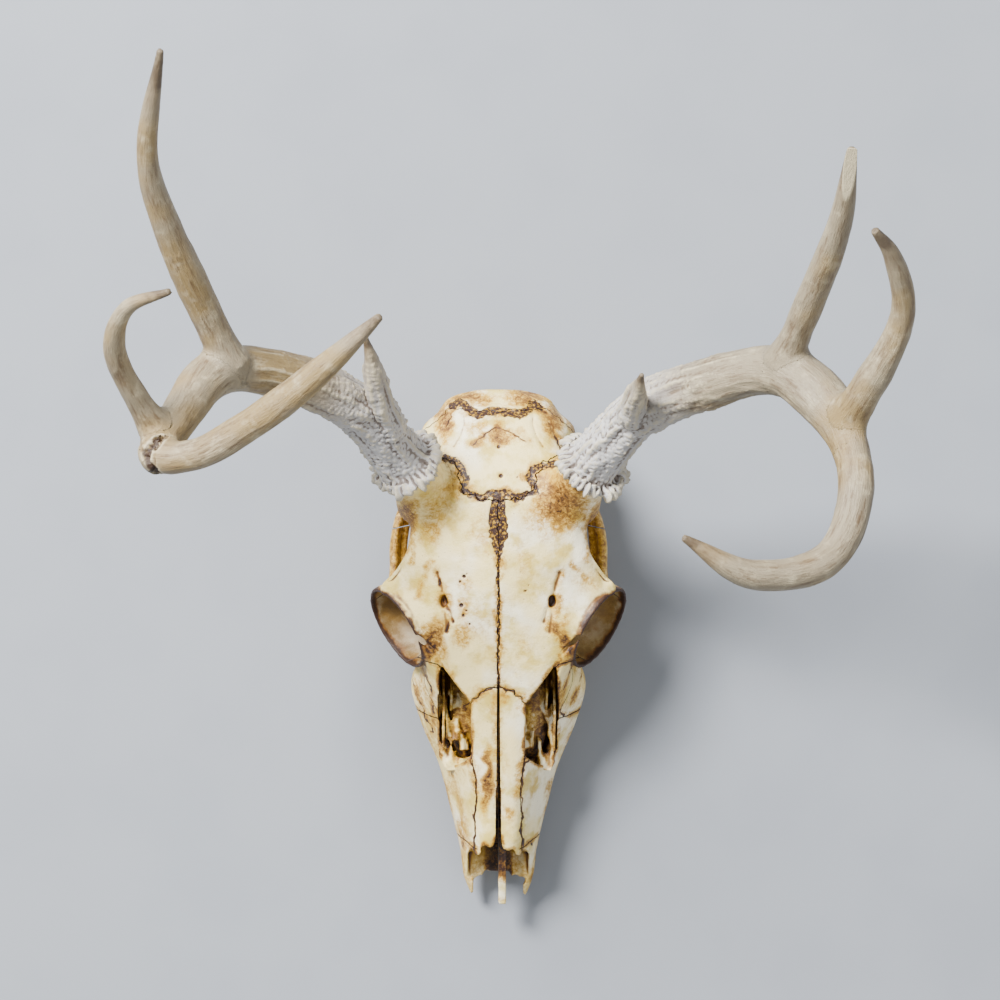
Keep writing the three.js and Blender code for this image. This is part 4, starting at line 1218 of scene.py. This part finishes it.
def collars(name, places, which, share, lines):
    """The torn edge of an old break: how far it moves each point out, and how dark the gap is."""
    if name not in COLLARS:
        return 0 * share, 0 * share
    at, depth = COLLARS[name]
    ragged = (share - at) * lines["beam"][0]["length"]
    ragged = ragged + 2.2 * noise(places, 5, 88) + 1.2 * noise(places, 2, 89)
    lip = 0.7 * ramp(-9, -1, ragged) * ramp(0.4, -0.2, ragged)
    gap = np.exp(-((ragged - 1.2) / 1.3) ** 2)
    dark = np.exp(-((ragged - 1.2) / 2.3) ** 2)
    return np.where(which == 0, depth * (lip - 1.5 * gap), 0), np.where(which == 0, dark, 0)


def worn_face(name, places, which, lines):
    """Points beyond the slanting face of a worn tip, brought back onto it, and how much each is on it."""
    if name not in WORN:
        return places, 0 * places[:, 0]
    tine, offset, slope = WORN[name]
    line, _ = lines[tine]
    tip, ahead = line["places"][-1], line["ahead"][-1]
    upward = np.array((0, 0, 1)) - ahead * ahead[2]
    upward /= np.linalg.norm(upward)
    facing = upward + slope * ahead
    facing /= np.linalg.norm(facing)
    beyond = (places - tip - upward * offset) @ facing
    beyond[which != list(lines).index(tine)] = -9
    beyond[np.linalg.norm(places - tip, axis=1) > 40] = -9
    return places - np.maximum(beyond, 0)[:, None] * facing, ramp(-0.6, 0.1, beyond)


def antler_relief(places, lines, lay, which, share, aside, clear):
    """How far each point of the rind stands out: ridges and fibres, pearls near the burr, and its frill."""
    beam = lines["beam"][0]
    seat = beam["places"][0]
    from_burr = np.linalg.norm(places - seat, axis=1)
    rough = 1 - 0.8 * tip_share(which, share)
    low = ramp(165, 60, from_burr)
    warp = lay + 1.2 * np.stack([noise(lay * 0.6, 3, 98), noise(lay * 0.6, 3, 99), 0 * share], axis=1)
    ridges = 1 - np.abs(noise(warp, 5.5, 91))
    fibres = 1 - np.abs(noise(warp * (1, 1, 1.5), 2.6, 92))
    move = 0.6 * layered(places, 18, 93) * rough + clear * rough * (0.25 + 0.3 * low) * (fibres**2 - 0.5)
    move += clear * low * 1.9 * (ridges**2 - 0.5)
    knobs = beads(warp * (1, 1, 2.2), 3.8, 94) + 0.5 * beads(places, 2.1, 95)
    move += 1.4 * knobs * ramp(0.45, 0.85, ridges) * ramp(130, 60, from_burr)
    move += 0.8 * (beads(places, 2.4, 96) - 0.3) * ramp(75, 40, from_burr)

    height = (places - seat) @ beam["ahead"][0]
    frill = ramp(5, 2.5, np.abs(height - FRILL_HEIGHT)) * (from_burr < 30)
    side, up = beam["side"][0], beam["up"][0]
    turn = np.arctan2(aside @ up, aside @ side)
    wave = np.sin(turn * 32 + 4 * noise(places, 9, 97))
    return move + frill * (0.8 * wave + 1.2 * noise(places, 3, 96) + 0.4)


def antler_cast(name, grain):
    """One antler as one skin, with its furrows and pearls."""
    antler = ANTLERS[name]
    lines = antler_lines(antler)
    beam = lines["beam"][0]
    solids = [burr(beam["places"][0] + beam["ahead"][0] * 0.15, beam["ahead"][0]),
              tube(antler["beam"], lines["beam"][1], sides=56, start=0.006)]
    for tine, (path, _) in antler["tines"].items():
        solids.append(tube(path, lines[f"{tine}_tine"][1], sides=40))
    whole = cast(heap(solids), grain)
    smoothed(whole, 3)
    web_forks(whole, antler, grain)

    places, facing = places_of(whole), outward(whole)
    which, share, aside, clear = lie_on(places, lines)
    lay = lay_of(lines, which, share, aside)
    move = antler_relief(places, lines, lay, which, share, aside, clear)
    move += collars(name, places, which, share, lines)[0]
    put_places(whole, worn_face(name, places + facing * move[:, None], which, lines)[0])
    return whole, lines


def note_antler(name, whole, lines):
    """Keeps at each point what the antler's material needs, and tells which length each point is on."""
    places = places_of(whole)
    which, share, aside, clear = lie_on(places, lines)
    from_burr = np.linalg.norm(places - lines["beam"][0]["places"][0], axis=1)
    for note, values in {
        "lay": lay_of(lines, which, share, aside),
        "tip": tip_share(which, share),
        "clear": clear,
        "worn": worn_face(name, places, which, lines)[1],
        "torn": collars(name, places, which, share, lines)[1],
        "warm": 0 * share + ANTLERS[name]["warm"],
        "crevice": hollows(whole, 10),
        "burr": ramp(150, 20, from_burr),
    }.items():
        remember(whole, note, values)
    return np.where(which > 0, which + 2, np.digitize(share, ANTLERS[name]["forks"]))


def antler_pieces(name, whole, lines):
    """The antler split at its forks, each length closed where it was split."""
    length_of = note_antler(name, whole, lines)
    corners = np.empty(len(whole.loops), np.int32)
    whole.loops.foreach_get("vertex_index", corners)
    starts = np.empty(len(whole.polygons), np.int32)
    whole.polygons.foreach_get("loop_start", starts)
    length_of_face = length_of[corners[starts]]
    for index, part in enumerate(["base", "middle", "main_tip", *list(lines)[1:]]):
        made = bmesh.new()
        made.from_mesh(whole)
        made.faces.ensure_lookup_table()
        others = [made.faces[i] for i in np.flatnonzero(length_of_face != index)]
        bmesh.ops.delete(made, geom=others, context="FACES")
        rim = [edge for edge in made.edges if edge.is_boundary]
        bmesh.ops.holes_fill(made, edges=rim)
        for edge in rim:
            edge.smooth = False
        yield f"antler_{name}_{part}", as_mesh(made, part)


# ------------------------------------------------------------------ finishes
def linear(colour):
    """An sRGB hex colour as Blender's linear red, green, blue and alpha."""
    parts = [int(colour[i:i + 2], 16) / 255 for i in (1, 3, 5)]
    return (*((part / 12.92 if part <= 0.04045 else ((part + 0.055) / 1.055) ** 2.4) for part in parts), 1)


def add(tree, kind, sockets=(), output=0, **settings):
    """Adds a node with its settings and gives one of its outputs.

    Its sockets get values or other nodes' outputs, listed in their order or by their names.
    """
    node = tree.nodes.new("ShaderNode" + kind)
    for name, value in settings.items():
        setattr(node, name, value)
    for socket, value in (sockets if isinstance(sockets, dict) else dict(enumerate(sockets))).items():
        if isinstance(value, bpy.types.NodeSocket):
            tree.links.new(value, node.inputs[socket])
        else:
            node.inputs[socket].default_value = value
    return node.outputs[output] if node.outputs else None


def new_material(name, kept, patterns):
    """An empty material, and what it can read at a point: values kept on the mesh, and noises by lump size.

    A pattern is the width of its lumps in millimetres, then the noise's detail and roughness.
    """
    made = bpy.data.materials.new(name)
    made.use_nodes = True
    tree = made.node_tree
    tree.nodes.clear()
    spots = add(tree, "TexCoord", output="Object")
    at = {name: add(tree, "Attribute", output="Fac", attribute_name=name) for name in kept}
    for name, (width, detail, rough) in patterns.items():
        lumps = {"Vector": spots, "Scale": 1000 / width, "Detail": detail, "Roughness": rough}
        at[name] = add(tree, "TexNoise", lumps)
    return made, tree, SimpleNamespace(**at)


SMOOTH = {"interpolation_type": "SMOOTHSTEP"}  # for a range: from low and high, to low and high


def weighted(tree, *terms):
    """The sum of some outputs or numbers, each times its weight."""
    result = 0
    for value, weight in terms:
        result = add(tree, "Math", (value, weight, result), operation="MULTIPLY_ADD")
    return result


def coated(tree, colour, *coats):
    """Coats laid one over another on a colour.

    Each coat is a colour, and the value that says where it lies: not where the value is at low, and with its
    full strength where it is at high.
    """
    colour = linear(colour) if isinstance(colour, str) else colour
    for coat, value, low, high, strength in coats:
        share = add(tree, "MapRange", (value, low, high, 0, strength), **SMOOTH)
        coat = linear(coat) if isinstance(coat, str) else coat
        colour = add(tree, "Mix", {0: share, 6: colour, 7: coat}, 2, data_type="RGBA")
    return colour


def surfaced(tree, colour, roughness, ior=1.5, bump=None):
    """Gives the material its surface; bump is a height, how strongly it shows and its depth in metres."""
    look = {"Base Color": colour, "Roughness": roughness, "IOR": ior}
    if bump:
        look["Normal"] = add(tree, "Bump", dict(zip(("Height", "Strength", "Distance"), bump)))
    add(tree, "OutputMaterial", {"Surface": add(tree, "BsdfPrincipled", look)})


BONE_NOTES = ("stain_and_shade", "basin", "socket", "rim", "crevice", "fine_seam", "seam", "outer")
BONE_PATTERNS = {"broad": (38, 3, 0.5), "mid": (14, 5, 0.6), "small": (4.5, 5, 0.7), "fine": (1.3, 3, 0.6),
                 "speckle": (2.4, 6, 0.75), "wavy": (3.6, 1, 0.5), "pores": (0.9, 2, 0.5),
                 "grain": (0.7, 4, 0.6)}


def bone_material(colours, name="bleached_bone"):
    """Bleached bone: cream white and satin, greasy yellow in patches, brown dirt in seams, and browner in
    hollows and creases as dirt and painted shade.
    """
    made, tree, at = new_material(name, BONE_NOTES, BONE_PATTERNS)
    tan, stain_and_shade, dirt_and_shade = colours.tan, colours.stain_and_shade, colours.dirt_and_shade
    colour = coated(tree, colours.bone, (colours.chalk, at.broad, 0.46, 0.62, 1),
                    (colours.grease, at.mid, 0.45, 0.66, 0.85))

    # Stain soaks in as specks and as thin winding lines, so that its edges are broken.
    specks = add(tree, "MapRange", (at.speckle, 0.36, 0.62, 0.46, 0.86), **SMOOTH)
    folded = add(tree, "Math", (at.wavy, 0.5), operation="PINGPONG")
    worms = add(tree, "MapRange", (folded, 0.455, 0.49, 0, 0.22), **SMOOTH)
    soaked = weighted(tree, (at.small, 0.55), (at.stain_and_shade, weighted(tree, (specks, 1), (worms, 1))))
    # Broad hollows and creases are browned, partly as dirt and partly as painted shade, and the insides of
    # the eye sockets turn grey-tan, darkened as painted shade.
    basin = weighted(tree, (at.basin, 1), (at.mid, 1.4))
    socket_tone_and_shade = add(tree, "MapRange", (at.mid, 0.4, 0.65, 0.72, 0.97), **SMOOTH)
    rim = weighted(tree, (at.rim, 1), (at.small, 1))
    crevice = weighted(tree, (at.crevice, 1), (at.small, 0.08))
    fine_seam = weighted(tree, (at.fine_seam, 1), (at.small, 0.35))
    teeth = coated(tree, dirt_and_shade, (tan, at.fine, 0.49, 0.66, 0.8))
    colour = coated(
        tree, colour,
        (tan, soaked, 0.37, 0.86, 0.92), (stain_and_shade, soaked, 0.7, 1.2, 0.92), (dirt_and_shade, soaked, 1.12, 1.65, 1),
        (tan, basin, 0.66, 1.5, 0.85), (stain_and_shade, basin, 1.1, 2.4, 0.85),
        (colours.socket, at.socket, 0, 1, socket_tone_and_shade),
        (stain_and_shade, rim, 0.66, 1.1, 0.95), (dirt_and_shade, rim, 0.95, 1.28, 0.95),
        (stain_and_shade, crevice, 0.07, 0.3, 0.9), (dirt_and_shade, crevice, 0.16, 0.5, 1),
        (stain_and_shade, fine_seam, 0.3, 0.75, 1), (dirt_and_shade, fine_seam, 0.62, 1.0, 1),
        (teeth, at.seam, 0.15, 0.6, 1),
    )
    # A cut face, which no sculpted skin covers, is dirty all over.
    colour = coated(tree, dirt_and_shade, (colour, at.outer, 0.2, 0.8, 1), (stain_and_shade, at.pores, 0.68, 0.76, 0.6))
    surfaced(tree, colour, 0.5, bump=(weighted(tree, (at.grain, 1), (at.pores, -0.6)), 0.45, 0.0006))
    return made


ANTLER_NOTES = ("warm", "clear", "burr", "crevice", "tip", "worn", "torn")
ANTLER_PATTERNS = {"broad": (45, 3, 0.5), "mid": (8, 4, 0.6), "specks": (3, 5, 0.75)}


def antler_material(colours):
    """Dry antler: a fibrous rind, grey and chalky at the burr, tan along the tines, dark in its furrows."""
    made, tree, at = new_material("antler_rind", ANTLER_NOTES, ANTLER_PATTERNS)
    brown, ivory, dark = colours.antler_brown, colours.antler_ivory, colours.antler_dark
    lay = add(tree, "Attribute", output="Vector", attribute_name="lay")
    streaks = add(tree, "TexNoise", {"Vector": lay, "Scale": 1 / STREAK, "Detail": 6, "Roughness": 0.7})
    fibres = add(tree, "TexNoise", {"Vector": lay, "Scale": 1 / FIBRE, "Detail": 5, "Roughness": 0.7})
    warm = weighted(tree, (at.broad, 1), (at.warm, 1))
    dipped = weighted(tree, (at.tip, 1), (at.mid, 0.14))
    colour = coated(
        tree, colours.antler_grey,
        (colours.antler_tan, warm, 0.42, 0.6, 1), (ivory, at.mid, 0.5, 0.75, 0.5),
        (brown, streaks, 0.46, 0.7, weighted(tree, (at.clear, 0.75))),
        (colours.antler_chalk, at.burr, 0.3, 1, 0.92), (brown, fibres, 0.52, 0.75, 0.45),
        # The furrows are browned and darkened as dirt and painted shade.
        (ivory, at.crevice, -0.05, -0.4, 0.65), (brown, at.crevice, 0.03, 0.25, 0.7),
        (dark, at.crevice, 0.25, 0.8, 0.6),
        (brown, dipped, 0.88, 1.04, 0.4), (dark, dipped, 1.03, 1.08, 0.7),
        (ivory, at.worn, 0, 1, 0.9), (dark, at.torn, 0.25, 0.8, 1), (dark, at.specks, 0.69, 0.77, 0.6),
    )
    surfaced(tree, colour, 0.48, bump=(fibres, 0.7, 0.0008))
    return made


def enamel_material(colours):
    """Tooth enamel: glossier and harder than the bone, ivory, with brown tartar in patches and dark furrows,
    as dirt and painted shade.
    """
    patterns = {"tartar": (5, 4, 0.5), "waves": (1.2, 3, 0.5)}
    made, tree, at = new_material("tooth_enamel", ["crevice"], patterns)
    colour = coated(tree, colours.enamel, (colours.stain_and_shade, at.tartar, 0.5, 0.75, 0.6),
                    (colours.dirt_and_shade, at.crevice, 0.03, 0.3, 0.9))
    surfaced(tree, colour, 0.3, 1.62, (at.waves, 0.2, 0.0003))
    return made


def floor_material(colours):
    """Matt studio paper: pale and even, with a trace of mottling so that it reads as a surface."""
    made, tree, at = new_material("studio_paper", [], {"mottle": (60, 3, 0.5)})
    surfaced(tree, coated(tree, colours.paper, (colours.paper_shade, at.mottle, 0.4, 0.7, 0.5)), 0.9)
    return made


# ------------------------------------------------------------------ the add-on
def hex_colour(name, default, description):
    return bpy.props.StringProperty(name=name, description=description, default=default)


class SkullColours(bpy.types.PropertyGroup):
    """Colours of the bone, the antlers and the floor, as sRGB hex values."""
    bone: hex_colour("Bone", "#f6e09c", "Cream of clean bone")
    chalk: hex_colour("Chalk", "#fdf3d2", "Whiter, chalky patches")
    grease: hex_colour("Grease", "#d2b84e", "Yellow-green patches where fat has soaked in")
    # Tan, stain and dirt serve real stains and dirt, and also painted shade in hollows, creases, on the sides
    # and inside the nose.
    tan: hex_colour("Tan", "#bf8f1c", "Light stain")
    stain_and_shade: hex_colour("Stain", "#73480f", "Orange-brown stain round the hollows")
    dirt_and_shade: hex_colour("Dirt", "#2b1205", "Dark brown dirt in seams and holes")
    # The eye sockets' grey-tan is darkened as painted shade.
    socket: hex_colour("Eye socket", "#6b5128", "Grey-tan of the inside of the eye sockets")
    enamel: hex_colour("Enamel", "#e2d3ac", "Ivory of the teeth")
    antler_grey: hex_colour("Antler grey", "#867a63", "Grey-beige of the beams")
    antler_tan: hex_colour("Antler tan", "#857048", "Warm tan of the tines")
    antler_brown: hex_colour("Antler brown", "#523a1f", "Brown streaks along the antlers")
    antler_chalk: hex_colour("Antler chalk", "#bdbbba", "Chalky grey round the burrs")
    antler_ivory: hex_colour("Antler ivory", "#bfb292", "Worn ridges and tips")
    # The furrows' dark brown is dirt and painted shade.
    antler_dark: hex_colour("Antler furrows", "#33200f", "Dirt in the furrows")
    paper: hex_colour("Paper", "#888c92", "Studio floor")
    paper_shade: hex_colour("Paper shade", "#82868d", "Faint mottling of the studio floor")


class SkullSizes(bpy.types.PropertyGroup):
    """Sizes that a user would change."""
    grain: bpy.props.FloatProperty(name="Grain", description="Spacing of the sculpted skin's points, in mm",
                                   default=GRAIN, min=0.4, max=3)
    antler_grain: bpy.props.FloatProperty(name="Antler grain", description="Spacing on the antlers, in mm",
                                          default=GRAIN * 1.15, min=0.4, max=3)


class SKULL_OT_bones(bpy.types.Operator):
    """Sculpts the head and parts it into its bones"""
    bl_idname = "skull.bones"
    bl_label = "Bones"

    def execute(self, context):
        material = bone_material(context.scene.skull_colours)
        grain = context.scene.skull_sizes.grain
        head = head_cast(grain)
        sculpt_bone(head, grain)
        note_hollows(head)
        for node, mesh in parted(head).items():
            note_bone(mesh)
            finished(mesh, f"bone_{node}", material, [node])
        return {"FINISHED"}


class SKULL_OT_teeth(bpy.types.Operator):
    """Models the two rows of cheek teeth"""
    bl_idname = "skull.teeth"
    bl_label = "Teeth"

    def execute(self, context):
        material = enamel_material(context.scene.skull_colours)
        for name, side in SIDES.items():
            row = tooth_row(side)
            remember(row, "crevice", hollows(row, 8))
            finished(row, f"teeth_{name}", material)
        return {"FINISHED"}


class SKULL_OT_nose(bpy.types.Operator):
    """Models the septum and the scrolls inside the nose"""
    bl_idname = "skull.nose"
    bl_label = "Inside of the nose"

    def execute(self, context):
        material = bone_material(context.scene.skull_colours, "nose_bone")
        made = {"nasal_septum": septum()}
        for name, side in SIDES.items():
            made[f"turbinate_{name}"] = scroll(side)
        for node, mesh in made.items():
            note_hollows(mesh)
            note_bone(mesh)
            places = places_of(mesh)
            brown = nose_stains_and_shade(places)
            if node != "nasal_septum":
                side = SIDES[node.split("_")[1]]
                # The sheets are paler the higher they lie, as painted light, and browner round the holes torn
                # through them, partly stain and partly painted shade.
                brown = brown - 0.9 * ramp(38, 43, places[:, 2]) + 1.3 * torn_edges(places, side)
                brown = np.clip(brown, 0, 1.7)
            remember(mesh, "stain_and_shade", brown)
            finished(mesh, f"bone_{node}", material, [node])
        return {"FINISHED"}


class SKULL_OT_antlers(bpy.types.Operator):
    """Sculpts both antlers and splits them at their forks"""
    bl_idname = "skull.antlers"
    bl_label = "Antlers"

    def execute(self, context):
        material = antler_material(context.scene.skull_colours)
        for name in SIDES:
            whole, lines = antler_cast(name, context.scene.skull_sizes.antler_grain)
            for node, mesh in antler_pieces(name, whole, lines):
                finished(mesh, f"{node}_rind", material, [node])
        return {"FINISHED"}


# Head coordinates of the lens, and its focal length as a multiple of the picture's width.
CAMERA = {"place": (0.8, 0, 1800), "reach": 3.551, "sensor_mm": 36}
# Each lamp's place in metres, width in metres and power in watts; the sky's colour and strength.
LAMPS = {"key": ((-1.0, 1.1, 1.7), 0.8, 215), "fill": ((1.2, -0.7, 1.6), 1.6, 14)}
SKY = ("#e9edf2", 0.66)
FLOOR_HALF = 4


class SKULL_OT_stage(bpy.types.Operator):
    """Lays the floor and sets up the soft lights and the camera above the skull"""
    bl_idname = "skull.stage"
    bl_label = "Stage"

    def execute(self, context):
        made = bmesh.new()
        bmesh.ops.create_grid(made, x_segments=40, y_segments=40, size=FLOOR_HALF)
        mesh = as_mesh(made, "floor")
        mesh.materials.append(floor_material(context.scene.skull_colours))
        floor = as_object(mesh, "floor")
        world = bpy.data.worlds.new("studio")
        world.use_nodes = True
        background = world.node_tree.nodes["Background"]
        background.inputs["Color"].default_value = linear(SKY[0])
        background.inputs["Strength"].default_value = SKY[1]
        context.scene.world = world
        for name, (place, size, power) in LAMPS.items():
            lamp = bpy.data.lights.new(name, "AREA")
            lamp.shape, lamp.size, lamp.energy = "DISK", size, power
            holder = bpy.data.objects.new(name, lamp)
            holder.location = place
            holder.rotation_euler = (-Vector(place)).to_track_quat("-Z", "Y").to_euler()
            context.scene.collection.objects.link(holder)
        camera = bpy.data.cameras.new("camera")
        camera.sensor_width = CAMERA["sensor_mm"]
        camera.lens = CAMERA["reach"] * CAMERA["sensor_mm"]
        camera.clip_start, camera.clip_end = 0.01, 50
        holder = bpy.data.objects.new("camera", camera)
        holder.location = TO_FRAME @ Vector(CAMERA["place"])
        context.scene.collection.objects.link(holder)
        context.scene.camera = holder
        return {"FINISHED"}


class SKULL_PT_panel(bpy.types.Panel):
    """Lists the skull's sizes, colours and steps"""
    bl_label = "Deer Skull"
    bl_idname = "SKULL_PT_panel"
    bl_space_type = "VIEW_3D"
    bl_region_type = "UI"
    bl_category = "Deer Skull"

    def draw(self, context):
        for group in (context.scene.skull_sizes, context.scene.skull_colours):
            for name in group.__annotations__:
                self.layout.prop(group, name)
        for step in STEPS:
            self.layout.operator(step.bl_idname)


STEPS = (SKULL_OT_bones, SKULL_OT_teeth, SKULL_OT_nose, SKULL_OT_antlers, SKULL_OT_stage)
CLASSES = (SkullColours, SkullSizes, *STEPS, SKULL_PT_panel)


def register():
    for item in CLASSES:
        bpy.utils.register_class(item)
    bpy.types.Scene.skull_colours = bpy.props.PointerProperty(type=SkullColours)
    bpy.types.Scene.skull_sizes = bpy.props.PointerProperty(type=SkullSizes)


def unregister():
    del bpy.types.Scene.skull_colours
    del bpy.types.Scene.skull_sizes
    for item in reversed(CLASSES):
        bpy.utils.unregister_class(item)


def main():
    register()
    for step in (bpy.ops.skull.bones, bpy.ops.skull.teeth, bpy.ops.skull.nose, bpy.ops.skull.antlers,
                 bpy.ops.skull.stage):
        step()


if __name__ == "__main__":
    main()
